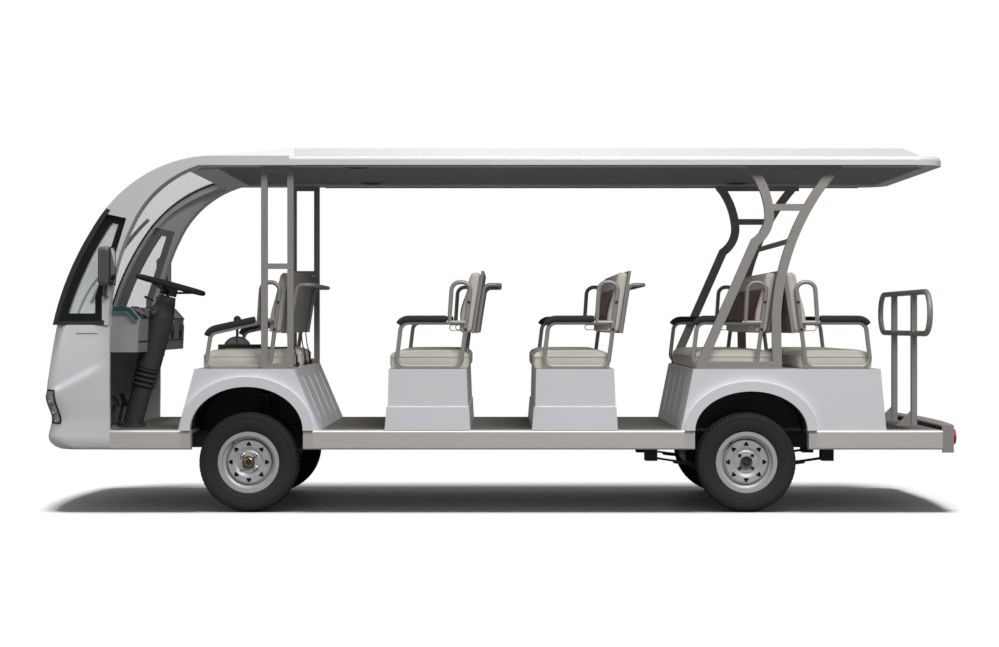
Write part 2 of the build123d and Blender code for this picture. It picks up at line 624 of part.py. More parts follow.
with BuildPart() as rear_roof_frame:
    for frame_y in (FRAME_OUTER_Y, -FRAME_INNER_Y):
        with BuildSketch(side_plane(frame_y)):
            with BuildLine():
                swan_top = ThreePointArc(
                    (-1392, ROOF_EDGE_BOTTOM + 10), (-1472, ROOF_EDGE_BOTTOM - 122), (-1503, ROOF_EDGE_BOTTOM - 257)
                )
                swan_bend = TangentArc(swan_top @ 1, (-1425, 1500), tangent=swan_top % 1)
                Line(swan_bend @ 1, (-1121, BOX_TOP + 15))
            trace(line_width=REAR_MEMBER_WIDTH)
            with BuildLine():
                bow = ThreePointArc(
                    (-1886, ROOF_EDGE_BOTTOM + 10), (-1629, ROOF_EDGE_BOTTOM - 409), (-1542, BOX_TOP + 285)
                )
                Line(bow @ 1, (-1547, BOX_TOP + 15))
            trace(line_width=REAR_MEMBER_WIDTH)
            for (bar_rear, bar_front), bar_z, bar_height in (
                (REAR_BASE, BOX_TOP, REAR_BASE_HEIGHT),
                (REAR_TOP_RAIL, ROOF_EDGE_BOTTOM - FRONT_BAR_HEIGHT, FRONT_BAR_HEIGHT),
                ((-1715, -1500), REAR_BAR_Z - 18, 36),
            ):
                with Locations((bar_rear, bar_z)):
                    Rectangle(bar_front - bar_rear, bar_height, align=(Align.MIN, Align.MIN))
            with Locations((0, ROOF_EDGE_BOTTOM)):
                Rectangle(BEYOND, BEYOND, align=(Align.CENTER, Align.MIN), mode=Mode.SUBTRACT)
            with Locations((0, BOX_TOP)):
                Rectangle(BEYOND, BEYOND, align=(Align.CENTER, Align.MAX), mode=Mode.SUBTRACT)
        extrude(amount=FRAME_OUTER_Y - FRAME_INNER_Y)
    with BuildSketch(side_plane(FRAME_INNER_Y)):
        with Locations(CROSS_TUBE):
            Circle(CROSS_TUBE_RADIUS)
    extrude(amount=2 * FRAME_INNER_Y)
save(rear_roof_frame, "rear_roof_frame")

# Seats, drawn in a bench frame whose x runs forward from the foot of the backrest
ARM_BASE_Z = BOX_TOP + ARM_TUBE_RADIUS
ARM_BAR_Z = 1054
ARM_BACK_X = 21
ARM_SPLIT_X = 200
ARM_FRONT_X = 381
ARM_FOOT_X = (52, 410)
ARM_LEG_TOP = (7, 1161)
ARM_LOOP_X = (-8, 100, 115)
ARM_LOOP_TOP = 1278
ARM_BEND = 47
# Columns: row, foot of the backrest, facing, arm distance from the middle, cushion rear, cushion front,
# halves, height of the arm's bar at the backrest, height of the arm's bar at its front
BENCHES = (
    (1, 1214, 1, INNER_ARM_Y, 1163, 1652, 2, ARM_BAR_Z + 20, ARM_BAR_Z - 59),
    (2, 152, 1, ARM_Y, 152, 605, 1, ARM_BAR_Z, ARM_BAR_Z),
    (3, 152 - ROW_PITCH, 1, ARM_Y, -632, -192, 1, ARM_BAR_Z, ARM_BAR_Z),
    (4, -1493, 1, INNER_ARM_Y, -1555, -1089, 1, ARM_BAR_Z, ARM_BAR_Z),
    (5, -1657, -1, ARM_Y, -1672, -2090, 1, ARM_BAR_Z, ARM_BAR_Z),
)
BACK_FOOT = 70
AISLE_HALF_WIDTH = 75
CUSHION_INSET = 13
HANDLE_RADIUS = 11
HANDLE_Y = 470
HANDLE_REACH = 88
HANDLE_BEND = 40
HANDLE_Z = 1268
REST_START = 128
REST_CURL = 57
REST_WIDTH = 46
REST_HEIGHT = 26
BACK_FILLET = 20


def bench_spans(half_width, halves):
    """Returns the spans across the vehicle that one bench takes: one, or two beside the aisle."""
    if halves == 1:
        return ((-half_width, half_width),)
    return ((-half_width, -AISLE_HALF_WIDTH), (AISLE_HALF_WIDTH, half_width))


def back_outline(start, depth):
    """Returns the leaning outline of a slab that starts this far behind the backrest's front face."""
    foot = BACK_FOOT - start
    return (
        (foot, BACK_BOTTOM), (foot - BACK_LEAN, BACK_TOP),
        (foot - BACK_LEAN - depth, BACK_TOP), (foot - depth, BACK_BOTTOM),
    )


def bar_height(x, rear_z, front_z):
    """Returns the height of an arm's bar at a distance in front of the backrest's foot."""
    return rear_z + (front_z - rear_z) * (x - ARM_BACK_X) / (ARM_FRONT_X - ARM_BACK_X)


def arm_runs(rear_z, front_z):
    """Returns the three tubes of an arm: the legs with the front of the bar, the bar's rear, and the loop."""
    split = (ARM_SPLIT_X, bar_height(ARM_SPLIT_X, rear_z, front_z))
    rear_foot, front_foot = ARM_FOOT_X
    loop_rear, loop_front, loop_end = ARM_LOOP_X
    return (
        (ARM_LEG_TOP, (rear_foot, ARM_BASE_Z), (front_foot, ARM_BASE_Z), (ARM_FRONT_X, front_z), split),
        (split, (ARM_BACK_X, rear_z)),
        (
            ARM_LEG_TOP, (loop_rear, ARM_LOOP_TOP), (loop_front, ARM_LOOP_TOP),
            (loop_end, bar_height(loop_end, rear_z, front_z)),
        ),
    )


def rest_line(rear_z, front_z):
    """Returns the middle line of an armrest pad: its start, and the start, middle and tip of its curl."""
    bar = Vector(ARM_FRONT_X - ARM_BACK_X, front_z - rear_z).normalized()
    leg = Vector(ARM_FOOT_X[1] - ARM_FRONT_X, ARM_BASE_Z - front_z).normalized()
    above = Vector(-bar.Y, bar.X)
    bend_start = Vector(ARM_FRONT_X, front_z) - bar * (ARM_BEND * tan(acos(bar.dot(leg)) / 2))
    lift = ARM_TUBE_RADIUS + SEAT_GAP + REST_HEIGHT / 2
    start = Vector(REST_START, bar_height(REST_START, rear_z, front_z)) + above * lift
    curl = [
        bend_start - above * ARM_BEND + (above * cos(turn) + bar * sin(turn)) * (ARM_BEND + lift)
        for turn in (0, radians(REST_CURL / 2), radians(REST_CURL))
    ]
    return tuple((point.X, point.Y) for point in (start, *curl))


def on_bench(points, foot_x, facing):
    """Moves outline points from the bench frame to the vehicle."""
    return tuple((foot_x + facing * x, z) for x, z in points)


for row, foot_x, facing, arm_y, cushion_rear, cushion_front, halves, bar_rear_z, bar_front_z in BENCHES:
    pad_half_width = arm_y - ARM_TUBE_RADIUS - CUSHION_INSET
    with BuildPart() as cushion:
        for low_y, high_y in bench_spans(pad_half_width, halves):
            side_bar(
                (
                    (cushion_rear, BOX_TOP), (cushion_front, BOX_TOP),
                    (cushion_front, CUSHION_TOP), (cushion_rear, CUSHION_TOP),
                ),
                low_y, high_y,
            )
        fillet(cushion.edges().filter_by(Axis.Z, reverse=True).group_by(Axis.Z)[-1], radius=CUSHION_FILLET)
    save(cushion, f"seat_cushion_row{row}")
    with BuildPart() as backrest:
        for low_y, high_y in bench_spans(arm_y - ARM_TUBE_RADIUS - SEAT_GAP, halves):
            side_bar(on_bench(back_outline(0, BACK_DEPTH), foot_x, facing), low_y, high_y)
        fillet(backrest.edges().filter_by(Axis.Y).group_by(Axis.Z)[-1], radius=BACK_FILLET)
    save(backrest, f"seat_backrest_row{row}")

with BuildPart() as backrest_shells:
    for row, foot_x, facing, arm_y, cushion_rear, cushion_front, halves, bar_rear_z, bar_front_z in BENCHES:
        half_width = arm_y - ARM_TUBE_RADIUS
        side_bar(on_bench(back_outline(BACK_DEPTH, SHELL_DEPTH), foot_x, facing), -half_width, half_width)
save(backrest_shells, "backrest_shells")

with BuildPart() as arm_frames:
    for row, foot_x, facing, arm_y, cushion_rear, cushion_front, halves, bar_rear_z, bar_front_z in BENCHES:
        for side in (1, -1):
            for run in arm_runs(bar_rear_z, bar_front_z):
                line = [(x, side * arm_y, z) for x, z in on_bench(run, foot_x, facing)]
                bent_tube(line, ARM_BEND, ARM_TUBE_RADIUS)
save(arm_frames, "arm_frames")

with BuildPart() as armrest_pads:
    for row, foot_x, facing, arm_y, cushion_rear, cushion_front, halves, bar_rear_z, bar_front_z in BENCHES:
        start, bend, middle, tip = on_bench(rest_line(bar_rear_z, bar_front_z), foot_x, facing)
        for side in (1, -1):
            with BuildSketch(side_plane(side * arm_y + REST_WIDTH / 2)):
                with BuildLine():
                    Line(start, bend)
                    ThreePointArc(bend, middle, tip)
                trace(line_width=REST_HEIGHT)
            extrude(amount=REST_WIDTH)
save(armrest_pads, "armrest_pads")

# Grab handles behind rows 1 to 3: up the back of the shell, then bent back to a cross tube
with BuildPart() as grab_handles:
    lean = BACK_LEAN / (BACK_TOP - BACK_BOTTOM)
    for row, foot_x, facing, arm_y, cushion_rear, cushion_front, halves, bar_rear_z, bar_front_z in BENCHES[:3]:
        rear_x = foot_x + BACK_FOOT - BACK_DEPTH - SHELL_DEPTH - HANDLE_RADIUS * hypot(1, lean)
        bend_x = rear_x - lean * (HANDLE_Z - BACK_BOTTOM)
        bent_tube(
            [
                (rear_x, -HANDLE_Y, BACK_BOTTOM), (bend_x, -HANDLE_Y, HANDLE_Z),
                (bend_x - HANDLE_REACH, -HANDLE_Y, HANDLE_Z), (bend_x - HANDLE_REACH, HANDLE_Y, HANDLE_Z),
                (bend_x, HANDLE_Y, HANDLE_Z), (rear_x, HANDLE_Y, BACK_BOTTOM),
            ],
            HANDLE_BEND, HANDLE_RADIUS,
        )
save(grab_handles, "grab_handles")

# Dashboard: a moulded bar across the cab, with a shelf that reaches forward into the nose
DASH_GAP = 0.5
DASH_NOTCH_HALF_WIDTH = 92
DASH_NOTCH = ((1900, 800), (1900, 1200), (2030, 1200), (2090, 800))
DASH_BOTTOM = 890
DASH_TOP = 1140
SHELF_THICKNESS = 22
DRIVER_Y = 330
nose_room = nose_body(NOSE_WALL + DASH_GAP)
dash_half_width = NOSE_SECTIONS[-1][2] - NOSE_WALL - DASH_GAP
with BuildPart() as dash_reach:
    add(nose_room)
    with Locations((FRONT_GATE_X, 0, FLOOR_TOP)):
        Box(BEYOND, 2 * dash_half_width, BEYOND, align=(Align.MAX, Align.CENTER, Align.CENTER))
with BuildPart() as dashboard:
    side_bar(
        (
            (1992, DASH_BOTTOM), (1984, DASH_TOP - 65), (2040, DASH_TOP), (FRONT_GATE_X, DASH_TOP),
            (FRONT_GATE_X, NOSE_TOP), (BEYOND, NOSE_TOP), (BEYOND, NOSE_TOP - SHELF_THICKNESS),
            (2165, NOSE_TOP - SHELF_THICKNESS), (2155, DASH_BOTTOM),
        ),
        -dash_half_width, dash_half_width,
    )
    add(dash_reach.part, mode=Mode.INTERSECT)
    with BuildSketch(side_plane(DRIVER_Y + DASH_NOTCH_HALF_WIDTH)):
        with BuildLine():
            Polyline(*DASH_NOTCH, close=True)
        make_face()
    extrude(amount=2 * DASH_NOTCH_HALF_WIDTH, mode=Mode.SUBTRACT)
    with BuildSketch(Plane.XY.offset(NOSE_TOP)):
        with Locations((FRONT_GATE_X, 0)):
            Rectangle(BEYOND, BEYOND)
            Rectangle(BEYOND, 2 * (RAIL_PANEL_Y - DASH_GAP), mode=Mode.SUBTRACT)
    extrude(amount=BEYOND, mode=Mode.SUBTRACT)
save(dashboard, "dashboard")

# Steering column and wheel on one slanted axis
COLUMN_FOOT = (2100, DRIVER_Y, FLOOR_TOP)
WHEEL_CENTRE = (1877, DRIVER_Y, 1271)
COLUMN_FLANGE = (78, 20)
COLUMN_TUBE_RADIUS = 56
BELLOWS_RADIUS = 74
BELLOWS_FOLDS = 4
SHROUD_RADIUS = 70
COLUMN_TUBE_START = 16
BELLOWS_FOOT = 235
BELLOWS_TOP = 350
SHROUD_TAPER = 120
SHAFT_RADIUS = 11
WHEEL_RIM_RADIUS = 190
WHEEL_GRIP_RADIUS = 14
WHEEL_HUB_RADIUS = 48
WHEEL_HUB_DEPTH = 44
WHEEL_HUB_DROP = 40
SPOKE_COUNT = 3
HUB_CLEARANCE = 6
axis_run = tuple(top - low for top, low in zip(WHEEL_CENTRE, COLUMN_FOOT))
axis_length = hypot(axis_run[0], axis_run[2])
column_plane = Plane(origin=COLUMN_FOOT, x_dir=(axis_run[2], 0, -axis_run[0]), z_dir=axis_run)
wheel_plane = column_plane.offset(axis_length)
shroud_top = axis_length - WHEEL_HUB_DROP - WHEEL_HUB_DEPTH / 2 - HUB_CLEARANCE
with BuildPart() as steering_column:
    with BuildSketch(Plane.XY.offset(FLOOR_TOP)):
        with Locations(COLUMN_FOOT[:2]):
            Circle(COLUMN_FLANGE[0])
    extrude(amount=COLUMN_FLANGE[1])
    # Columns: start along the axis, end, radius at the start, radius at the end
    for start, end, start_radius, end_radius in (
        (COLUMN_TUBE_START, BELLOWS_FOOT, COLUMN_TUBE_RADIUS, COLUMN_TUBE_RADIUS),
        (BELLOWS_TOP, shroud_top - SHROUD_TAPER, SHROUD_RADIUS, SHROUD_RADIUS),
        (shroud_top - SHROUD_TAPER, shroud_top, SHROUD_RADIUS, WHEEL_HUB_RADIUS),
        (shroud_top - 1, axis_length - 12, SHAFT_RADIUS, SHAFT_RADIUS),
    ):
        with BuildSketch(column_plane.offset(start)):
            Circle(start_radius)
        with BuildSketch(column_plane.offset(end)):
            Circle(end_radius)
        loft()
    fold = (BELLOWS_TOP - BELLOWS_FOOT) / BELLOWS_FOLDS
    for step in range(BELLOWS_FOLDS):
        for share, near, far in (
            (0, COLUMN_TUBE_RADIUS, BELLOWS_RADIUS), (0.5, BELLOWS_RADIUS, COLUMN_TUBE_RADIUS)
        ):
            fold_start = BELLOWS_FOOT + fold * (step + share)
            with BuildSketch(column_plane.offset(fold_start)):
                Circle(near)
            with BuildSketch(column_plane.offset(fold_start + fold / 2)):
                Circle(far)
            loft()
save(steering_column, "steering_column")

with BuildPart() as steering_wheel:
    with BuildSketch(Plane(wheel_plane.origin, x_dir=wheel_plane.x_dir, z_dir=wheel_plane.y_dir)):
        with Locations((WHEEL_RIM_RADIUS, 0)):
            Circle(WHEEL_GRIP_RADIUS)
    revolve(axis=Axis(wheel_plane.origin, wheel_plane.z_dir))
    with BuildSketch(wheel_plane.offset(-WHEEL_HUB_DROP - WHEEL_HUB_DEPTH / 2)):
        Circle(WHEEL_HUB_RADIUS)
    extrude(amount=WHEEL_HUB_DEPTH)
    for spoke in range(SPOKE_COUNT):
        turn = radians(90 + 360 * spoke / SPOKE_COUNT)
        reach = wheel_plane.x_dir * cos(turn) + wheel_plane.y_dir * sin(turn)
        hub_end = wheel_plane.origin + reach * (WHEEL_HUB_RADIUS - 12) - wheel_plane.z_dir * WHEEL_HUB_DROP
        rim_end = wheel_plane.origin + reach * WHEEL_RIM_RADIUS
        with BuildSketch(Plane(origin=hub_end, x_dir=wheel_plane.z_dir, z_dir=rim_end - hub_end)):
            Rectangle(10, 30)
        extrude(amount=(rim_end - hub_end).length)
    with BuildSketch(wheel_plane.offset(-WHEEL_HUB_DROP - WHEEL_HUB_DEPTH)):
        Circle(SHAFT_RADIUS + SPINDLE_GAP)
    extrude(amount=WHEEL_HUB_DEPTH + WHEEL_HUB_DROP - 10, mode=Mode.SUBTRACT)
save(steering_wheel, "steering_wheel")

# Driver's controls: the console between the front seats with the parking brake, and two pedals on the floor
CONSOLE_X = (1245, 1650)
CONSOLE_WIDTH = 110
CONSOLE_TOP = 908
BRAKE_PLATE_X = (1405, 1650)
BRAKE_PLATE_TOP = 925
BRAKE_X = 1545
SECTOR_RADIUS = 85
SECTOR_RISE = 45
SECTOR_THICKNESS = 12
LEVER_RADIUS = 8
LEVER_TOP = 1062
KNOB_RADIUS = 22
PEDAL_YS = (DRIVER_Y + 110, DRIVER_Y - 110)
PEDAL_FOOT_X = 2200
PEDAL_LEAN = 30
PEDAL_HEIGHT = 150
PEDAL_ARM_RADIUS = 9
PEDAL_PAD = (80, 66, 14)
with BuildPart() as driver_controls:
    for (low_x, high_x), low_z, high_z in (
        (CONSOLE_X, BOX_TOP, CONSOLE_TOP), (BRAKE_PLATE_X, CONSOLE_TOP, BRAKE_PLATE_TOP)
    ):
        with Locations(((low_x + high_x) / 2, 0, (low_z + high_z) / 2)):
            Box(high_x - low_x, CONSOLE_WIDTH, high_z - low_z)
    with BuildSketch(side_plane(SECTOR_THICKNESS / 2)):
        with Locations((BRAKE_X, BRAKE_PLATE_TOP + SECTOR_RISE - SECTOR_RADIUS)):
            Circle(SECTOR_RADIUS)
        with Locations((BRAKE_X, BRAKE_PLATE_TOP)):
            Rectangle(BEYOND, BEYOND, align=(Align.CENTER, Align.MAX), mode=Mode.SUBTRACT)
    extrude(amount=SECTOR_THICKNESS)
    bent_tube([(BRAKE_X, 0, CONSOLE_TOP), (BRAKE_X, 0, LEVER_TOP)], 0, LEVER_RADIUS)
    with Locations((BRAKE_X, 0, LEVER_TOP + KNOB_RADIUS / 2)):
        Sphere(KNOB_RADIUS)
    for pedal_y in PEDAL_YS:
        pedal_top = (PEDAL_FOOT_X - PEDAL_LEAN, pedal_y, FLOOR_TOP + PEDAL_HEIGHT)
        bent_tube([(PEDAL_FOOT_X, pedal_y, FLOOR_TOP), pedal_top], 0, PEDAL_ARM_RADIUS)
        with Locations(Plane(origin=pedal_top, z_dir=(-1, 0, 0.5)).location):
            Box(*PEDAL_PAD)
    with Locations((PEDAL_FOOT_X, 0, FLOOR_TOP)):
        Box(BEYOND, BEYOND, BEYOND, align=(Align.CENTER, Align.CENTER, Align.MAX), mode=Mode.SUBTRACT)
save(driver_controls, "driver_controls")

# Side mirrors on bent arms from the rails
MIRROR_HEAD = (70, 132, 214)
MIRROR_CENTRE = (2140, 800, 1362)
MIRROR_ARM_FOOT = (2158, 706, 1190)
MIRROR_ARM_RADIUS = 11
with BuildPart() as side_mirrors:
    with Locations(MIRROR_CENTRE):
        Box(*MIRROR_HEAD)
    fillet(side_mirrors.edges(), radius=24)
    bent_tube(
        [
            MIRROR_ARM_FOOT, (2150, MIRROR_CENTRE[1], 1208),
            (MIRROR_CENTRE[0], MIRROR_CENTRE[1], MIRROR_CENTRE[2] - MIRROR_HEAD[2] / 2 + 20),
        ],
        26, MIRROR_ARM_RADIUS,
    )
    add(front_cap.part, mode=Mode.SUBTRACT)
    mirror(about=Plane.XZ)
save(side_mirrors, "side_mirrors")

# Rear handrail: a hoop across the vehicle on two square posts with gussets
RAIL_HOOP_X = -2410
RAIL_HOOP = (620, 992, 1228)
RAIL_HOOP_RADIUS = 16
RAIL_HOOP_BEND = 110
RAIL_POST_Y = 245
RAIL_POST_SIZE = 32
GUSSET_SIZE = 90
with BuildPart() as rear_handrail:
    hoop_half, hoop_low, hoop_high = RAIL_HOOP
    with BuildLine(cross_plane(RAIL_HOOP_X)) as hoop_line:
        FilletPolyline(
            (-hoop_half, hoop_low), (hoop_half, hoop_low), (hoop_half, hoop_high), (-hoop_half, hoop_high),
            radius=RAIL_HOOP_BEND, close=True,
        )
    with BuildSketch(Plane(origin=hoop_line.line @ 0, z_dir=hoop_line.line % 0)):
        Circle(RAIL_HOOP_RADIUS)
    sweep(path=hoop_line.line)
    for side in (1, -1):
        with BuildSketch(Plane.XY.offset(FLOOR_TOP)):
            with Locations((RAIL_HOOP_X, side * RAIL_POST_Y)):
                Rectangle(RAIL_POST_SIZE, RAIL_POST_SIZE)
        extrude(amount=hoop_high - FLOOR_TOP)
        gusset_x = RAIL_HOOP_X + RAIL_POST_SIZE / 2 - 2
        side_bar(
            ((gusset_x, FLOOR_TOP), (gusset_x + GUSSET_SIZE, FLOOR_TOP), (gusset_x, FLOOR_TOP + GUSSET_SIZE)),
            side * RAIL_POST_Y - 4, side * RAIL_POST_Y + 4,
        )
save(rear_handrail, "rear_handrail")

# Rear bumper: a bowed channel, open below, with a lamp let in on each side
BUMPER_Z = (335, 487)
BUMPER_HALF_WIDTH = 700
BUMPER_END_X = -2522
BUMPER_BOW_X = -2570
BUMPER_WALL = 8
LAMP_Y = 585
LAMP_CENTRE_Z = 416
LAMP_RADIUS = 42
LAMP_REACH = -2556


def bumper_plan(inset):
    """Draws the bumper's plan, drawn in from its outer skin by the inset."""
    half = BUMPER_HALF_WIDTH - inset
    with BuildLine() as plan:
        front = Line((REAR_DECK_X, half), (REAR_DECK_X, -half))
        right = Line(front @ 1, (BUMPER_END_X + inset, -half))
        bow = ThreePointArc(right @ 1, (BUMPER_BOW_X + inset, 0), (BUMPER_END_X + inset, half))
        Line(bow @ 1, front @ 0)
    make_face(plan.edges())


with BuildPart() as rear_bumper:
    with BuildSketch(Plane.XY.offset(BUMPER_Z[0])):
        bumper_plan(0)
    extrude(amount=BUMPER_Z[1] - BUMPER_Z[0])
    with BuildSketch(Plane.XY.offset(BUMPER_Z[0])):
        bumper_plan(BUMPER_WALL)
    extrude(amount=BUMPER_Z[1] - BUMPER_Z[0] - BUMPER_WALL, mode=Mode.SUBTRACT)
    with BuildSketch(cross_plane(REAR_DECK_X)):
        for side in (1, -1):
            with Locations((side * LAMP_Y, LAMP_CENTRE_Z)):
                Circle(LAMP_RADIUS + SEAT_GAP)
    extrude(amount=-200, mode=Mode.SUBTRACT)
save(rear_bumper, "rear_bumper")
with BuildPart() as tail_lamps:
    with BuildSketch(cross_plane(REAR_DECK_X)):
        for side in (1, -1):
            with Locations((side * LAMP_Y, LAMP_CENTRE_Z)):
                Circle(LAMP_RADIUS)
    extrude(amount=LAMP_REACH - REAR_DECK_X)
save(tail_lamps, "tail_lamps")

# Road wheels: a drop-centre steel rim with a vented disc and drum, and a plain tyre
RIM_LINE = (
    (-RIM_HALF_WIDTH, RIM_LIP_RADIUS), (-RIM_HALF_WIDTH + 6, RIM_LIP_RADIUS),
    (-RIM_HALF_WIDTH + 6, BEAD_RADIUS), (-30, BEAD_RADIUS - 3), (-22, DROP_RADIUS),
    (22, DROP_RADIUS), (30, BEAD_RADIUS - 3), (RIM_HALF_WIDTH - 6, BEAD_RADIUS),
    (RIM_HALF_WIDTH - 6, RIM_LIP_RADIUS), (RIM_HALF_WIDTH, RIM_LIP_RADIUS),
    (RIM_HALF_WIDTH, BEAD_RADIUS - RIM_WALL), (33, BEAD_RADIUS - 3 - RIM_WALL), (24, DROP_RADIUS - RIM_WALL),
    (-24, DROP_RADIUS - RIM_WALL), (-33, BEAD_RADIUS - 3 - RIM_WALL),
    (-RIM_HALF_WIDTH, BEAD_RADIUS - RIM_WALL),
)
DISC_LINE = (
    (22, DROP_RADIUS - RIM_WALL), (30, 122), (DISC_OUTER_Y + 8, 112), (DISC_OUTER_Y + 6, 84),
    (DISC_OUTER_Y - 4, HUB_FACE_RADIUS), (DISC_OUTER_Y, HUB_FACE_RADIUS - 8), (DISC_OUTER_Y, 0),
    (DISC_OUTER_Y - DISC_THICKNESS, 0), (DISC_OUTER_Y - DISC_THICKNESS, HUB_FACE_RADIUS - 5),
    (DISC_OUTER_Y - 4 - DISC_THICKNESS, HUB_FACE_RADIUS + 2), (DISC_OUTER_Y - 2, 85),
    (DISC_OUTER_Y, 108), (22, 118), (14, DROP_RADIUS - RIM_WALL),
)


def wheel_plane_at(x, side):
    """The half plane in which a wheel's section is drawn: its x points outward, its y away from the axle."""
    return Plane(origin=(x, side * WHEEL_Y, AXLE_Z), x_dir=(0, side, 0), z_dir=(side, 0, 0))


def turned(plane, points):
    """Adds a ring turned about the wheel's axle from an outline in the wheel's section plane."""
    with BuildSketch(plane) as outline:
        with BuildLine():
            Polyline(*points, close=True)
        make_face()
    revolve(outline.sketch, axis=Axis(plane.origin, plane.x_dir))


def wheel_rim(x, side, driven):
    """Returns one rim with its vented disc, drum and hub."""
    section = wheel_plane_at(x, side)
    face = Plane(origin=section.origin, x_dir=(side, 0, 0), z_dir=section.x_dir)
    with BuildPart() as rim:
        turned(section, RIM_LINE)
        turned(section, DISC_LINE)
        turned(
            section,
            (
                (DRUM_INNER_Y, 0), (DRUM_INNER_Y, DRUM_RADIUS - 8), (DRUM_INNER_Y + 8, DRUM_RADIUS),
                (DISC_OUTER_Y - 26, DRUM_RADIUS), (DISC_OUTER_Y - 18, HUB_FACE_RADIUS),
                (DISC_OUTER_Y - 2, HUB_FACE_RADIUS - 8), (DISC_OUTER_Y - 2, 0),
            ),
        )
        with BuildSketch(face.offset(DISC_OUTER_Y + 30)) as vents:
            with PolarLocations(VENT_RADIUS, VENT_COUNT):
                Triangle(a=38, B=56, C=56, rotation=-90)
            fillet(vents.vertices(), radius=5)
        extrude(amount=-52, mode=Mode.SUBTRACT)
        with BuildSketch(face.offset(DISC_OUTER_Y)) as cap:
            Circle(HUB_CAP_RADIUS)
        extrude(amount=HUB_CAP_LENGTH)
        if driven:
            with BuildSketch(face.offset(DISC_OUTER_Y + HUB_CAP_LENGTH)):
                Circle(HUB_CAP_RADIUS - 5)
            extrude(amount=-HUB_CAP_LENGTH, mode=Mode.SUBTRACT)
        with BuildSketch(face.offset(DISC_OUTER_Y)):
            with PolarLocations(LUG_CIRCLE_RADIUS, LUG_COUNT, start_angle=45):
                Circle(LUG_HOLE_RADIUS)
        if driven:
            extrude(amount=-8, mode=Mode.SUBTRACT)
        else:
            extrude(amount=8)
        with BuildSketch(face.offset(DRUM_INNER_Y)):
            Circle(SPINDLE_RADIUS + SPINDLE_GAP)
        extrude(amount=DISC_OUTER_Y - DRUM_INNER_Y - 12, mode=Mode.SUBTRACT)
    return rim


def wheel_tyre(x, side):
    """Returns one tyre: round shoulders, bulged walls and beads that sit on the rim."""
    section = wheel_plane_at(x, side)
    half = TYRE_WIDTH / 2
    bead_y = RIM_HALF_WIDTH - 6 - RIM_GAP
    bead_r = BEAD_RADIUS + RIM_GAP
    wall_r = (TYRE_RADIUS + RIM_LIP_RADIUS) / 2
    shoulder_r = TYRE_RADIUS - SHOULDER_RADIUS
    with BuildPart() as tyre:
        with BuildSketch(section):
            with BuildLine():
                tread = Line((-TREAD_WIDTH / 2, TYRE_RADIUS), (TREAD_WIDTH / 2, TYRE_RADIUS))
                outer = ThreePointArc(tread @ 1, (half - 4, shoulder_r), (half, wall_r))
                lower = ThreePointArc(outer @ 1, (half - 3, wall_r - 26), (bead_y + 8, RIM_LIP_RADIUS + 2))
                step = Line(lower @ 1, (bead_y, RIM_LIP_RADIUS + 2))
                bead = Line(step @ 1, (bead_y, bead_r))
                seat = Line(bead @ 1, (-bead_y, bead_r))
                back_bead = Line(seat @ 1, (-bead_y, RIM_LIP_RADIUS + 2))
                back_step = Line(back_bead @ 1, (-bead_y - 8, RIM_LIP_RADIUS + 2))
                back_lower = ThreePointArc(back_step @ 1, (3 - half, wall_r - 26), (-half, wall_r))
                ThreePointArc(back_lower @ 1, (4 - half, shoulder_r), tread @ 0)
            make_face()
        revolve(axis=Axis(section.origin, section.x_dir))
    return tyre


# Columns: corner, axle position, side, driven
CORNERS = (
    ("front_left", AXLE_X, 1, False),
    ("front_right", AXLE_X, -1, False),
    ("rear_left", -AXLE_X, 1, True),
    ("rear_right", -AXLE_X, -1, True),
)
for corner, wheel_x, side, driven in CORNERS:
    save(wheel_rim(wheel_x, side, driven), f"rim_{corner}")
    save(wheel_tyre(wheel_x, side), f"tyre_{corner}")

# Steering knuckles: an upright on its kingpin, with the spindle and the steering arm
SPINDLE_END_Y = WHEEL_Y + DISC_OUTER_Y - 16
SHOULDER_END_Y = WHEEL_Y + DRUM_INNER_Y - 7
STEERING_ARM_Y = KINGPIN_Y - 10
STEERING_ARM_WIDTH = 26
eye_low_z = AXLE_Z - UPRIGHT_HALF_HEIGHT - EYE_GAP
eye_high_z = AXLE_Z + UPRIGHT_HALF_HEIGHT + EYE_GAP
for corner, side in (("left", 1), ("right", -1)):
    upright_outer = KINGPIN_Y + UPRIGHT_THICKNESS / 2
    with BuildPart() as knuckle:
        with Locations((AXLE_X, side * KINGPIN_Y, AXLE_Z)):
            Box(UPRIGHT_WIDTH, UPRIGHT_THICKNESS, 2 * UPRIGHT_HALF_HEIGHT)
            Cylinder(KINGPIN_RADIUS, 2 * (UPRIGHT_HALF_HEIGHT + EYE_GAP + EYE_HEIGHT + 4))
        for start_y, end_y, radius in (
            (upright_outer - 2, SHOULDER_END_Y, 40), (SHOULDER_END_Y - 2, SPINDLE_END_Y, SPINDLE_RADIUS)
        ):
            with BuildSketch(side_plane(side * start_y)):
                with Locations((AXLE_X, AXLE_Z)):
                    Circle(radius)
            extrude(amount=-side * (end_y - start_y))
        with BuildSketch(Plane.XY.offset(STEERING_ARM_Z - STEERING_ARM_THICKNESS / 2)):
            with Locations((AXLE_X - STEERING_ARM_LENGTH / 2, side * STEERING_ARM_Y)):
                SlotCenterToCenter(STEERING_ARM_LENGTH, STEERING_ARM_WIDTH)
        extrude(amount=STEERING_ARM_THICKNESS)
    save(knuckle, f"knuckle_{corner}")

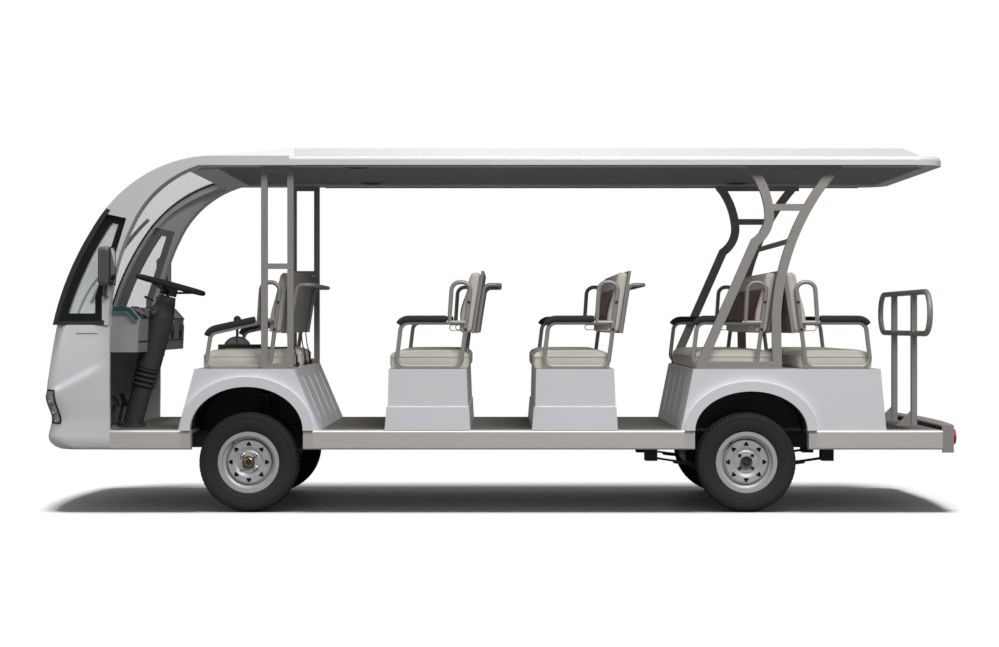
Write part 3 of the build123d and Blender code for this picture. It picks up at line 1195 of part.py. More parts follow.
# Track rod: joins the two steering arms from below
ROD_X = AXLE_X - STEERING_ARM_LENGTH
ROD_Z = STEERING_ARM_Z - STEERING_ARM_THICKNESS / 2 - TRACK_ROD_GAP - TRACK_ROD_RADIUS
with BuildPart() as track_rod:
    with BuildSketch(side_plane(STEERING_ARM_Y)):
        with Locations((ROD_X, ROD_Z)):
            Circle(TRACK_ROD_RADIUS)
    extrude(amount=2 * STEERING_ARM_Y)
    for side in (1, -1):
        with Locations((ROD_X, side * STEERING_ARM_Y, ROD_Z)):
            Cylinder(TRACK_ROD_RADIUS + 6, 2 * TRACK_ROD_RADIUS)
save(track_rod, "track_rod")

# Front suspension: a cross beam under the rails, wishbones with kingpin eyes, and spring dampers
BEAM_HALF_LENGTH = 332
BEAM_WIDTH = 120
BEAM_BOTTOM = 150
BEAM_HEIGHT = 60
BEAM_POST_Y = (296, 344)
DAMPER_RADIUS = 18
COIL_RADIUS = 35
COIL_WIRE = 6
COIL_TURNS = 7
COIL_FOOT = 75
COIL_SEAT = 8
COIL_HEADROOM = 20
lower_eye_z = eye_low_z - EYE_HEIGHT
wishbone_y = RAIL_Y + RAIL_WIDTH / 2
with BuildPart() as front_suspension:
    with Locations((AXLE_X, 0, BEAM_BOTTOM + BEAM_HEIGHT / 2)):
        Box(BEAM_WIDTH, 2 * BEAM_HALF_LENGTH, BEAM_HEIGHT)
    for side in (1, -1):
        with Locations((AXLE_X, side * sum(BEAM_POST_Y) / 2, (BEAM_BOTTOM + RAIL_TOP - RAIL_HEIGHT) / 2)):
            Box(BEAM_WIDTH - 20, BEAM_POST_Y[1] - BEAM_POST_Y[0], RAIL_TOP - RAIL_HEIGHT - BEAM_BOTTOM)
        # Columns: bottom of the wishbone, its root from the middle, half width of the root
        for bone_z, root_y, half_base in (
            (lower_eye_z, BEAM_HALF_LENGTH - 30, LOWER_ARM_HALF_BASE),
            (eye_high_z, wishbone_y, UPPER_ARM_HALF_BASE),
        ):
            with BuildSketch(Plane.XY.offset(bone_z)):
                with BuildLine():
                    Polyline(
                        (AXLE_X - half_base, side * root_y), (AXLE_X + half_base, side * root_y),
                        (AXLE_X + 22, side * KINGPIN_Y), (AXLE_X - 22, side * KINGPIN_Y), close=True,
                    )
                make_face()
                with Locations((AXLE_X, side * KINGPIN_Y)):
                    Circle(EYE_RADIUS)
                    Circle(KINGPIN_RADIUS + KINGPIN_GAP, mode=Mode.SUBTRACT)
            extrude(amount=EYE_HEIGHT)
save(front_suspension, "front_suspension")

damper_foot = lower_eye_z + EYE_HEIGHT
coil_low = damper_foot + COIL_FOOT
coil_pitch = (TOWER_TOP - COIL_HEADROOM - coil_low) / COIL_TURNS
with BuildPart() as front_dampers:
    for side in (1, -1):
        damper_axis = Axis((TOWER_X, side * DAMPER_Y, 0), (0, 0, 1))
        with BuildSketch(Plane(origin=(TOWER_X, side * DAMPER_Y, 0), x_dir=(1, 0, 0), z_dir=(0, -1, 0))):
            with BuildLine():
                Polyline(
                    (0, damper_foot), (DAMPER_RADIUS, damper_foot), (DAMPER_RADIUS, TOWER_TOP), (0, TOWER_TOP),
                    close=True,
                )
            make_face()
            for seat_z in (coil_low, TOWER_TOP):
                with Locations((0, seat_z)):
                    Rectangle(COIL_RADIUS, COIL_SEAT, align=(Align.MIN, Align.MAX))
            for turn in range(COIL_TURNS):
                with Locations((0, coil_low + coil_pitch * (turn + 0.5))):
                    Rectangle(COIL_RADIUS - COIL_WIRE, 2 * COIL_WIRE, align=(Align.MIN, Align.CENTER))
                    with Locations((COIL_RADIUS - COIL_WIRE, 0)):
                        Circle(COIL_WIRE)
        revolve(axis=damper_axis)
save(front_dampers, "front_dampers")

# Rear axle: a beam with the differential and the drive motor in one casting
BEAM_RADIUS = 36
AXLE_FLANGE_RADIUS = 62
DIFF_RADIUS = 120
DIFF_WIDTH = 150
GEAR_CASE = (120, 150)
MOTOR_RADIUS = 105
MOTOR_LENGTH = 260
MOTOR_X = -AXLE_X + 190
MOTOR_Z = 292
axle_end_y = WHEEL_Y + DRUM_INNER_Y - 7
with BuildPart() as rear_axle:
    # Columns: centre x, centre z, one end, other end, radius
    for centre_x, centre_z, left_y, right_y, radius in (
        (-AXLE_X, AXLE_Z, axle_end_y, -axle_end_y, BEAM_RADIUS),
        (-AXLE_X, AXLE_Z, SPINDLE_END_Y, -SPINDLE_END_Y, SPINDLE_RADIUS),
        (-AXLE_X, AXLE_Z, axle_end_y, axle_end_y - 18, AXLE_FLANGE_RADIUS),
        (-AXLE_X, AXLE_Z, 18 - axle_end_y, -axle_end_y, AXLE_FLANGE_RADIUS),
        (-AXLE_X, AXLE_Z, DIFF_WIDTH / 2, -DIFF_WIDTH / 2, DIFF_RADIUS),
        (MOTOR_X, MOTOR_Z, DIFF_WIDTH / 2 + MOTOR_LENGTH / 2, DIFF_WIDTH / 2 - MOTOR_LENGTH, MOTOR_RADIUS),
    ):
        with BuildSketch(side_plane(left_y)):
            with Locations((centre_x, centre_z)):
                Circle(radius)
        extrude(amount=left_y - right_y)
    with Locations(((MOTOR_X - AXLE_X) / 2, 0, (MOTOR_Z + AXLE_Z) / 2)):
        Box(MOTOR_X + AXLE_X, *GEAR_CASE)
save(rear_axle, "rear_axle")

# Leaf springs under the rails, carried at both eyes and clamped under the axle beam
LEAF_THICKNESS = 9
LEAF_COUNT = 4
LEAF_STEP = 130
EYE_Z = RAIL_TOP - RAIL_HEIGHT - HANGER_LENGTH + 24
SPRING_MID_Z = AXLE_Z - BEAM_RADIUS - SEAT_GAP
SPRING_EYE_RADIUS = 20
with BuildPart() as leaf_springs:
    front_eye, rear_eye = SPRING_EYE_X
    middle_x = -AXLE_X
    span = (front_eye - rear_eye) / 2
    sag = EYE_Z - SPRING_MID_Z
    leaf_radius = (span**2 + sag**2) / (2 * sag)
    for plane_y in (RAIL_Y + SPRING_WIDTH / 2, -RAIL_Y + SPRING_WIDTH / 2):
        with BuildSketch(side_plane(plane_y)):
            for leaf in range(LEAF_COUNT):
                reach = span - leaf * LEAF_STEP
                drop = leaf * LEAF_THICKNESS
                rise = leaf_radius - (leaf_radius**2 - reach**2) ** 0.5
                top_z = SPRING_MID_Z - drop
                with BuildLine() as leaf_line:
                    top = ThreePointArc(
                        (middle_x - reach, top_z + rise), (middle_x, top_z), (middle_x + reach, top_z + rise)
                    )
                    low = ThreePointArc(
                        (middle_x + reach, top_z + rise - LEAF_THICKNESS), (middle_x, top_z - LEAF_THICKNESS),
                        (middle_x - reach, top_z + rise - LEAF_THICKNESS),
                    )
                    Line(top @ 1, low @ 0)
                    Line(low @ 1, top @ 0)
                make_face()
            for eye_x in SPRING_EYE_X:
                with Locations((eye_x, EYE_Z)):
                    Circle(SPRING_EYE_RADIUS)
        extrude(amount=SPRING_WIDTH)
save(leaf_springs, "leaf_springs")
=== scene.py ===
"""Looks of an open electric sightseeing car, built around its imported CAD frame."""

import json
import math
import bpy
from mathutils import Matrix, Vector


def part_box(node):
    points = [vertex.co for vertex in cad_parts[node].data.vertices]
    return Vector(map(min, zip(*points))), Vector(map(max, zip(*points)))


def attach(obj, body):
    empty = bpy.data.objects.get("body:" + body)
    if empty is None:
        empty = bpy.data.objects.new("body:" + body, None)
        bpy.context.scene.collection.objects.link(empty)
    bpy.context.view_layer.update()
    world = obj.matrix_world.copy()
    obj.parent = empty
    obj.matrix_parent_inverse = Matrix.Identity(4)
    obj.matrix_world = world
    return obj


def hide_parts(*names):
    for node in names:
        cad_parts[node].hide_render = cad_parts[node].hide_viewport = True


bl_info = {
    "name": "Sightseeing Car Looks",
    "version": (1, 0, 0),
    "blender": (4, 5, 0),
    "location": "View3D > Sidebar > Sightseeing Car",
    "description": "Gives an open sightseeing car its finishes, soft seats, tyres and trim",
    "category": "Object",
}

import bmesh
import bpy
import numpy as np
from bpy.props import FloatProperty, FloatVectorProperty, IntProperty, PointerProperty
from mathutils import Vector
from mathutils.bvhtree import BVHTree

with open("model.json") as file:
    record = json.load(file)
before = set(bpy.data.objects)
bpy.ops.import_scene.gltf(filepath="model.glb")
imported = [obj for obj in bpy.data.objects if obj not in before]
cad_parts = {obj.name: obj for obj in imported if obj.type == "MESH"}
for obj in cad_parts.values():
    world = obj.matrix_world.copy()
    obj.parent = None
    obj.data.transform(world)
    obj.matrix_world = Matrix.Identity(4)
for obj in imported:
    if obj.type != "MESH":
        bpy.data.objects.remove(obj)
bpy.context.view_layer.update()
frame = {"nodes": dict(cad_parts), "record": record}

# Bench rows: name, cushions across, foot of the backrest, facing, half width between the arm tubes, arm bar heights
BENCHES = (
    ("row1", ((-0.609, -0.075), (0.075, 0.609)), 1.214, 1, 0.622, (1.074, 0.995)),
    ("row2", ((-0.655, 0.655),), 0.152, 1, 0.668, (1.054, 1.054)),
    ("row3", ((-0.655, 0.655),), -0.664, 1, 0.668, (1.054, 1.054)),
    ("row4", ((-0.609, 0.609),), -1.493, 1, 0.622, (1.054, 1.054)),
    ("row5", ((-0.655, 0.655),), -1.657, -1, 0.668, (1.054, 1.054)),
)
# Section of an armrest pad, in metres: flat inside, hollow below for the tube
PAD_OUTLINE = (
    (-0.0225, -0.0190), (-0.0240, -0.0060), (-0.0225, 0.0070), (-0.0130, 0.0138), (0, 0.0145), (0.0130, 0.0138),
    (0.0225, 0.0070), (0.0240, -0.0060), (0.0225, -0.0190), (0.0140, -0.0190), (0.0128, -0.0125), (0, -0.0125),
    (-0.0128, -0.0125), (-0.0140, -0.0190),
)
AXLE_X, AXLE_Z = 1.385, 0.277
WHEEL_Y = 0.580
# Road wheels: name, axle position, side, driven
CORNERS = (
    ("front_left", AXLE_X, 1, False),
    ("front_right", AXLE_X, -1, False),
    ("rear_left", -AXLE_X, 1, True),
    ("rear_right", -AXLE_X, -1, True),
)


def colour_property(name, description, default):
    """A paint or plastic colour that a user can change."""
    return FloatVectorProperty(
        name=name, description=description, default=default, subtype="COLOR", min=0, max=1, size=3
    )


def length_property(name, description, default):
    """A length in metres that a user can change."""
    return FloatProperty(name=name, description=description, default=default, min=0, unit="LENGTH", precision=4)


def light_property(name, description, default, **unit):
    """The power or strength of a light that a user can change."""
    return FloatProperty(name=name, description=description, default=default, min=0, **unit)


class CarPaints(bpy.types.PropertyGroup):
    """Colours of the paints, plastics and covers."""

    body: colour_property("Body", "Gloss paint of the moulded body panels", (0.81, 0.805, 0.805))
    sill: colour_property("Sills", "Satin paint of the sills", (0.93, 0.905, 0.88))
    frame: colour_property("Frames", "Paint of the roof frames and seat tubes", (0.20, 0.188, 0.178))
    floor: colour_property("Floor", "Studded floor covering", (0.085, 0.078, 0.070))
    lining: colour_property("Lining", "Moulded roof lining", (0.042, 0.042, 0.045))
    cover: colour_property("Seat cover", "Cushion and backrest cover", (0.93, 0.895, 0.845))
    insert: colour_property("Seat insert", "Glossy panel across the backrests", (0.150, 0.048, 0.034))
    shell: colour_property("Backrest shell", "Moulded back of the seats", (0.56, 0.55, 0.52))
    black: colour_property("Black plastic", "Pads, grips and column covers", (0.012, 0.012, 0.013))
    rubber: colour_property("Rubber", "Tyres and seals", (0.006, 0.006, 0.0062))
    rim: colour_property("Rims", "Silver paint of the wheels", (0.84, 0.85, 0.87))
    dust: colour_property("Dust", "Road dust low on the body", (0.42, 0.37, 0.31))


class CarSeats(bpy.types.PropertyGroup):
    """Sizes of the soft seat parts."""

    mesh_step: length_property("Mesh step", "Edge length of the cover's mesh", 0.024)
    cushion_start: length_property("Cushion start", "How far the empty cover lies inside its space", 0.007)
    cushion_edge: length_property("Cushion edge", "Radius of the cushion's upper edge", 0.024)
    crown: length_property("Crown", "How far the middle of a cushion rises", 0.012)
    swell: length_property("Swell", "Farthest that a point of the cover may move", 0.011)
    pressure: FloatProperty(name="Pressure", description="Air pressure that fills the cover", default=4.0, min=0)
    piping: length_property("Piping", "Radius of the sewn piping", 0.0034)
    back_depth: length_property("Backrest depth", "Thickness of the empty backrest", 0.066)
    back_edge: length_property("Backrest edge", "Radius of the backrest's edges", 0.020)
    back_space: length_property("Backrest space", "Depth from the shell to the backrest's front", 0.078)
    back_foot: length_property("Backrest foot", "Front of the backrest at its foot", 0.070)
    back_lean: length_property("Backrest lean", "How far the backrest leans over its height", 0.054)
    panel_margin: length_property("Panel margin", "Width of the cover beside the glossy panel", 0.055)


class CarTyres(bpy.types.PropertyGroup):
    """Sizes of the tread and sidewall."""

    pitches: IntProperty(name="Tread pitches", description="Tread blocks round the tyre", default=62, min=12)
    groove_depth: length_property("Groove depth", "Depth of the tread grooves", 0.0075)
    groove_width: length_property("Groove width", "Width of the grooves round the tyre", 0.008)
    ring_height: length_property("Ring height", "Height of the moulded sidewall rings", 0.0014)


class CarStage(bpy.types.PropertyGroup):
    """Studio light and camera."""

    key: light_property("Key", "Power of the high light by the camera", 500, unit="POWER")
    top: light_property("Top", "Strength of the overhead light", 2.0)
    nose: light_property("Nose", "Power of the light before the nose", 70, unit="POWER")
    sky: light_property("Sky", "Strength of the even studio light", 0.12)
    focal_length: FloatProperty(
        name="Focal length", description="Lens of the camera", default=0.06195, min=0.01, unit="CAMERA"
    )
    distance: length_property("Distance", "Camera distance from the vehicle's middle", 10.2)
    height: length_property("Height", "Camera height over the floor", 1.049)


# Mesh tools


def finished_mesh(bm, name, sharp_angle=32):
    """Turns a bmesh into a smooth-shaded mesh whose edges stay sharp over the given angle."""
    bmesh.ops.recalc_face_normals(bm, faces=bm.faces)
    mesh = bpy.data.meshes.new(name)
    bm.to_mesh(mesh)
    bm.free()
    mesh.shade_smooth()
    mesh.set_sharp_from_angle(angle=math.radians(sharp_angle))
    return mesh


def add_piece(name, mesh, body, slot, *finishes):
    """Links a mesh as a piece that rides a body and takes its finish from a record slot."""
    piece = bpy.data.objects.new(name, mesh)
    bpy.context.scene.collection.objects.link(piece)
    for material in finishes or (bpy.data.materials[slot],):
        mesh.materials.append(material)
    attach(piece, body)
    return piece


def fit_piece(name, bm, slot, finish=None, body="chassis", sharp_angle=32):
    """Makes a piece from a bmesh; its finish is the slot's own unless another is named."""
    mesh = finished_mesh(bm, name, sharp_angle)
    return add_piece(name, mesh, body, slot, bpy.data.materials[finish or slot])


def basis(axis):
    """Two unit vectors that stand square to an axis and to each other."""
    axis = Vector(axis).normalized()
    first = axis.orthogonal().normalized()
    if abs(axis.z) < 0.9:
        first = axis.cross((0, 0, 1)).normalized()
    return first, axis.cross(first).normalized()


def bridge(bm, rings, closed_ring=True, closed_run=False):
    """Joins rows of vertices into faces."""
    pairs = list(zip(rings, rings[1:] + rings[:1])) if closed_run else list(zip(rings, rings[1:]))
    for first, second in pairs:
        count = len(first)
        for i in range(count if closed_ring else count - 1):
            j = (i + 1) % count
            corners = []
            for vert in (first[i], first[j], second[j], second[i]):
                if vert not in corners:
                    corners.append(vert)
            if len(corners) > 2:
                bm.faces.new(corners)


def add_turned(bm, profile, origin, axis, segments=32):
    """Adds a body turned about an axis from points (distance along the axis, radius)."""
    origin, axis = Vector(origin), Vector(axis).normalized()
    across, up = basis(axis)
    rings = []
    for along, radius in profile:
        centre = origin + axis * along
        if radius < 1e-6:
            rings.append([bm.verts.new(centre)] * segments)
            continue
        ring = []
        for i in range(segments):
            turn = 2 * math.pi * i / segments
            ring.append(bm.verts.new(centre + (across * math.cos(turn) + up * math.sin(turn)) * radius))
        rings.append(ring)
    bridge(bm, rings)


def add_tube(bm, points, radius, sides=12, closed=False):
    """Adds a round bar along a line of points."""
    add_section(bm, points, circle(sides), radius, radius, closed)


def turns(count):
    """Angles that divide a full turn."""
    return [2 * math.pi * i / count for i in range(count)]


def circle(sides):
    """Outline of a round bar of unit radius."""
    return [(math.cos(turn), math.sin(turn)) for turn in turns(sides)]


def add_section(bm, points, outline, width, height, closed=False, up=None, sizes=None):
    """Sweeps an outline along a line of points; up fixes its second axis, sizes swell or shrink it on the way."""
    points = [Vector(p) for p in points]
    count = len(points)
    rings, side = [], None
    for i, point in enumerate(points):
        before = points[i - 1] if i or closed else point
        after = points[(i + 1) % count] if i + 1 < count or closed else point
        along = (after - before).normalized()
        if up is not None:
            lift = up[i] if isinstance(up, list) else up
            side = along.cross(lift).normalized()
        elif side is None:
            side = basis(along)[0]
        else:
            side = (side - along * side.dot(along)).normalized()
        normal = side.cross(along).normalized()
        full = sizes[i] if sizes else 1.0
        rings.append([
            bm.verts.new(point + side * (u * width * full) + normal * (v * height * full)) for u, v in outline
        ])
    bridge(bm, rings, closed_run=closed)
    if not closed:
        bm.faces.new(rings[0])
        bm.faces.new(rings[-1])


def add_block(bm, low, high, rounding, segments=3):
    """Adds a box with rounded edges between two corners."""
    low, high = Vector(low), Vector(high)
    made = bmesh.ops.create_cube(bm, size=1)["verts"]
    for vert in made:
        vert.co = Vector(low[i] + (vert.co[i] + 0.5) * (high[i] - low[i]) for i in range(3))
    edges = list({edge for vert in made for edge in vert.link_edges})
    bmesh.ops.bevel(bm, geom=edges, offset=rounding, segments=segments, profile=0.5, affect="EDGES")


def add_prism(bm, outline, low_y, high_y):
    """Adds a slab whose outline is drawn on the vehicle's side."""
    rings = [[bm.verts.new((x, y, z)) for x, z in outline] for y in (low_y, high_y)]
    bridge(bm, rings)
    bm.faces.new(rings[0])
    bm.faces.new(rings[1])


def add_bolt(bm, seat, axis, radius):
    """Adds a washer and a domed hexagon head that stand on a seat."""
    washer = ((-0.002, radius * 1.7), (0.0016, radius * 1.7), (0.0022, radius * 1.5), (0.0022, 0))
    add_turned(bm, washer, seat, axis, 20)
    height = radius * 0.9
    head = ((0.001, radius * 1.15), (height, radius * 1.15), (height * 1.2, radius * 0.85), (height * 1.25, 0))
    add_turned(bm, head, seat, axis, 6)


def join_into(bm, other):
    """Moves another bmesh into this one."""
    mesh = bpy.data.meshes.new("joined")
    other.to_mesh(mesh)
    other.free()
    bm.from_mesh(mesh)
    bpy.data.meshes.remove(mesh)


def skin(node):
    """Returns a function that finds where a ray first meets a CAD node."""
    bm = bmesh.new()
    bm.from_mesh(frame["nodes"][node].data)
    tree = BVHTree.FromBMesh(bm)
    bm.free()

    def cast(origin, direction):
        point, normal, _, _ = tree.ray_cast(Vector(origin), Vector(direction).normalized())
        if point is None:
            raise RuntimeError(f"{node} has no surface along the ray from {tuple(origin)}")
        return point, normal

    return cast


def smooth_run(points, steps=8):
    """Points along a smooth curve through the given points."""
    points = [Vector(p) for p in points]
    padded = [2 * points[0] - points[1], *points, 2 * points[-1] - points[-2]]
    run = []
    for a, b, c, d in zip(padded, padded[1:], padded[2:], padded[3:]):
        for i in range(steps):
            t = i / steps
            square, cube = 2 * a - 5 * b + 4 * c - d, 3 * b - a - 3 * c + d
            run.append(0.5 * (2 * b + (c - a) * t + square * t**2 + cube * t**3))
    return [*run, points[-1]]


def arc_run(start, via, end, steps):
    """Points (x, z) along the arc through three points."""
    (ax, az), (bx, bz), (cx, cz) = start, via, end
    twice = 2 * (ax * (bz - cz) + bx * (cz - az) + cx * (az - bz))
    a2, b2, c2 = ax * ax + az * az, bx * bx + bz * bz, cx * cx + cz * cz
    ox = (a2 * (bz - cz) + b2 * (cz - az) + c2 * (az - bz)) / twice
    oz = (a2 * (cx - bx) + b2 * (ax - cx) + c2 * (bx - ax)) / twice
    radius = math.hypot(ax - ox, az - oz)
    first, middle, last = (math.atan2(z - oz, x - ox) for x, z in (start, via, end))
    sweep = (last - first + math.pi) % (2 * math.pi) - math.pi
    if ((middle - first + math.pi) % (2 * math.pi) - math.pi) * sweep < 0:
        sweep -= math.copysign(2 * math.pi, sweep)
    return [
        (ox + radius * math.cos(first + sweep * i / steps), oz + radius * math.sin(first + sweep * i / steps))
        for i in range(steps + 1)
    ]


# Shader tools


def new_group(name, inputs, outputs):
    """Starts a shader node group; sockets are (name, kind, default)."""
    group = bpy.data.node_groups.new(name, "ShaderNodeTree")
    for socket, kind, default in inputs:
        made = group.interface.new_socket(socket, in_out="INPUT", socket_type=f"NodeSocket{kind}")
        if default is not None:
            made.default_value = default
    for socket, kind in outputs:
        group.interface.new_socket(socket, in_out="OUTPUT", socket_type=f"NodeSocket{kind}")
    return group, group.nodes.new("NodeGroupInput"), group.nodes.new("NodeGroupOutput")


def feed(tree, socket, value):
    """Joins a socket to an input, or sets the input to a constant."""
    if isinstance(value, bpy.types.NodeSocket):
        tree.links.new(value, socket)
    else:
        socket.default_value = value


def node(tree, kind, settings=None, **inputs):
    """Adds a node; inputs are constants or sockets, named with underscores for spaces."""
    made = tree.nodes.new(f"ShaderNode{kind}")
    for key, value in (settings or {}).items():
        setattr(made, key, value)
    for key, value in inputs.items():
        numbered = key[0] == "i" and key[1:].isdigit()
        feed(tree, made.inputs[int(key[1:]) if numbered else key.replace("_", " ")], value)
    return made


def math_node(tree, operation, first, second=0.0, third=0.0, clamp=False):
    """Adds a math node and returns its result."""
    settings = {"operation": operation, "use_clamp": clamp}
    return node(tree, "Math", settings, i0=first, i1=second, i2=third).outputs[0]


def ramp(tree, value, low, high, start=0.0, end=1.0):
    """Maps a value from one range to another, held at both ends."""
    return node(
        tree, "MapRange", {"clamp": True, "interpolation_type": "SMOOTHSTEP"},
        Value=value, From_Min=low, From_Max=high, To_Min=start, To_Max=end,
    ).outputs["Result"]


def mix_colour(tree, share, first, second):
    """Mixes two colours by a share and returns the result."""
    return node(tree, "Mix", {"data_type": "RGBA"}, i0=share, i6=first, i7=second).outputs[2]


def tone_group():
    """Slow changes of tone over a surface, in colour and in gloss."""
    group, given, result = new_group(
        "Tone drift",
        [("Vector", "Vector", None), ("Colour", "Color", None), ("Drift", "Float", 0.06), ("Scale", "Float", 2.0),
         ("Roughness", "Float", 0.4)],
        [("Colour", "Color"), ("Roughness", "Float")],
    )
    sockets = given.outputs
    clouds = node(group, "TexNoise", Vector=sockets["Vector"], Scale=sockets["Scale"], Detail=6.0).outputs["Fac"]
    centred = math_node(group, "SUBTRACT", clouds, 0.5)
    factor = math_node(group, "MULTIPLY_ADD", centred, sockets["Drift"], 1.0)
    scaled = node(group, "VectorMath", {"operation": "SCALE"}, i0=sockets["Colour"], Scale=factor).outputs[0]
    group.links.new(scaled, result.inputs["Colour"])
    smears = node(group, "TexNoise", Vector=sockets["Vector"], Scale=9.0, Detail=8.0).outputs["Fac"]
    gloss = math_node(group, "MULTIPLY_ADD", math_node(group, "SUBTRACT", smears, 0.5), 0.18, sockets["Roughness"])
    group.links.new(gloss, result.inputs["Roughness"])
    return group


def grain_group():
    """Fine moulded or sewn grain as a height."""
    group, given, result = new_group(
        "Fine grain",
        [("Vector", "Vector", None), ("Scale", "Float", 400.0), ("Creases", "Float", 0.5)],
        [("Height", "Float")],
    )
    sockets = given.outputs
    where = {"Vector": sockets["Vector"], "Scale": sockets["Scale"]}
    cells = node(group, "TexVoronoi", {"feature": "DISTANCE_TO_EDGE"}, **where).outputs["Distance"]
    pebbles = ramp(group, cells, 0.0, 0.25)
    speckle = node(group, "TexNoise", Detail=3.0, **where).outputs["Fac"]
    creased = math_node(group, "MULTIPLY", pebbles, sockets["Creases"])
    group.links.new(math_node(group, "ADD", creased, speckle), result.inputs["Height"])
    return group


def wear_group():
    """Rubbed outer edges as a mask."""
    group, given, result = new_group(
        "Edge rub",
        [("Vector", "Vector", None), ("Radius", "Float", 0.006), ("Amount", "Float", 0.5)],
        [("Mask", "Float")],
    )
    sockets = given.outputs
    rounded = node(group, "Bevel", {"samples": 4}, Radius=sockets["Radius"]).outputs["Normal"]
    flat = group.nodes.new("ShaderNodeNewGeometry").outputs["Normal"]
    agree = node(group, "VectorMath", {"operation": "DOT_PRODUCT"}, i0=rounded, i1=flat).outputs["Value"]
    edge = ramp(group, agree, 0.995, 0.90)
    patches = node(group, "TexNoise", Vector=sockets["Vector"], Scale=26.0, Detail=7.0).outputs["Fac"]
    broken = math_node(group, "MULTIPLY", edge, ramp(group, patches, 0.42, 0.66))
    group.links.new(math_node(group, "MULTIPLY", broken, sockets["Amount"], clamp=True), result.inputs["Mask"])
    return group


def dust_group():
    """Road dust that fades out above a height, as a mask."""
    group, given, result = new_group(
        "Road dust",
        [("Vector", "Vector", None), ("Top", "Float", 0.7), ("Amount", "Float", 0.3)],
        [("Mask", "Float")],
    )
    sockets = given.outputs
    height = node(group, "SeparateXYZ", Vector=sockets["Vector"]).outputs["Z"]
    share = math_node(group, "DIVIDE", height, sockets["Top"])
    low = ramp(group, share, 1.0, 0.25)
    spots = node(group, "TexNoise", Vector=sockets["Vector"], Scale=34.0, Detail=9.0, Roughness=0.7).outputs["Fac"]
    blown = math_node(group, "MULTIPLY", low, ramp(group, spots, 0.34, 0.78))
    group.links.new(math_node(group, "MULTIPLY", blown, sockets["Amount"], clamp=True), result.inputs["Mask"])
    return group


GROUPS = {
    "tone": ("Tone drift", tone_group), "grain": ("Fine grain", grain_group), "wear": ("Edge rub", wear_group),
    "dust": ("Road dust", dust_group),
}


def shared(tree, name, **inputs):
    """Places one of the shared effects in a material."""
    label, build = GROUPS[name]
    made = tree.nodes.new("ShaderNodeGroup")
    made.node_tree = bpy.data.node_groups.get(label) or build()
    for key, value in inputs.items():
        feed(tree, made.inputs[key], value)
    return made.outputs


def opaque(colour):
    """A colour with full alpha."""
    return (*colour[:3], 1.0)


class Finish:
    """A material under construction: its tree, its shader and its coordinates in the vehicle's frame."""

    def __init__(self, name):
        self.material = bpy.data.materials.new(name)
        self.material.use_nodes = True
        self.tree = self.material.node_tree
        self.shader = self.tree.nodes["Principled BSDF"]
        self.place = self.tree.nodes.new("ShaderNodeTexCoord").outputs["Object"]
        self.colour = None

    def base(self, colour, roughness, drift=0.06, scale=2.0):
        """Sets the colour and gloss with their slow changes."""
        tone = shared(
            self.tree, "tone", Vector=self.place, Colour=opaque(colour), Drift=drift, Scale=scale, Roughness=roughness
        )
        self.colour = tone["Colour"]
        self.link(tone["Roughness"], "Roughness")
        return self

    def over(self, mask, colour):
        """Lays a second colour over the first by a mask."""
        self.colour = mix_colour(self.tree, mask, self.colour, opaque(colour))
        return self

    def worn(self, colour, amount, radius=0.005):
        """Rubs the outer edges through to another colour."""
        mask = shared(self.tree, "wear", Vector=self.place, Radius=radius, Amount=amount)["Mask"]
        return self.over(mask, colour)

    def dusty(self, amount, top=0.75):
        """Lays road dust on the lower parts."""
        mask = shared(self.tree, "dust", Vector=self.place, Top=top, Amount=amount)["Mask"]
        return self.over(mask, bpy.context.scene.car_paints.dust)

    def grain(self, scale, depth, creases=0.5):
        """Adds fine grain to the surface's relief."""
        height = shared(self.tree, "grain", Vector=self.place, Scale=scale, Creases=creases)["Height"]
        return self.relief(height, depth)

    def relief(self, height, depth):
        """Adds a height to the surface's relief."""
        bump = node(self.tree, "Bump", Height=height, Distance=depth, Strength=1.0)
        earlier = self.shader.inputs["Normal"].links
        if earlier:
            self.tree.links.new(earlier[0].from_socket, bump.inputs["Normal"])
        self.link(bump.outputs["Normal"], "Normal")
        return self

    def link(self, socket, name):
        """Feeds one of the shader's inputs."""
        self.tree.links.new(socket, self.shader.inputs[name])
        return self

    def set(self, **values):
        """Sets constants on the shader's own inputs."""
        for key, value in values.items():
            self.shader.inputs[key.replace("_", " ")].default_value = value
        return self

    def done(self):
        """Joins the colour to the shader and returns the material."""
        if self.colour is not None:
            self.link(self.colour, "Base Color")
        return self.material

    def axis(self, letter):
        """One coordinate in the vehicle's frame."""
        return node(self.tree, "SeparateXYZ", Vector=self.place).outputs[letter]

    def size_of(self, letter):
        """One coordinate in the vehicle's frame without its sign."""
        return math_node(self.tree, "ABSOLUTE", self.axis(letter))

    def from_axle(self):
        """Distance from the nearer axle."""
        up = math_node(self.tree, "SUBTRACT", self.axis("Z"), AXLE_Z)
        ahead = math_node(self.tree, "SUBTRACT", self.size_of("X"), AXLE_X)
        squares = [math_node(self.tree, "POWER", part, 2.0) for part in (up, ahead)]
        return math_node(self.tree, "SQRT", math_node(self.tree, "ADD", *squares))


# Finishes of the CAD nodes


def body_finish(name, colour, roughness, dust):
    """Gloss paint on moulded panels: orange peel, a clear coat and dust low down."""
    finish = Finish(name).base(colour, roughness, 0.05, 1.4).worn((0.55, 0.55, 0.56), 0.15, 0.002).dusty(dust)
    finish.grain(190, 0.00006, 0.1).set(Coat_Weight=0.55, Coat_Roughness=0.06, Specular_IOR_Level=0.5)
    return finish.done()


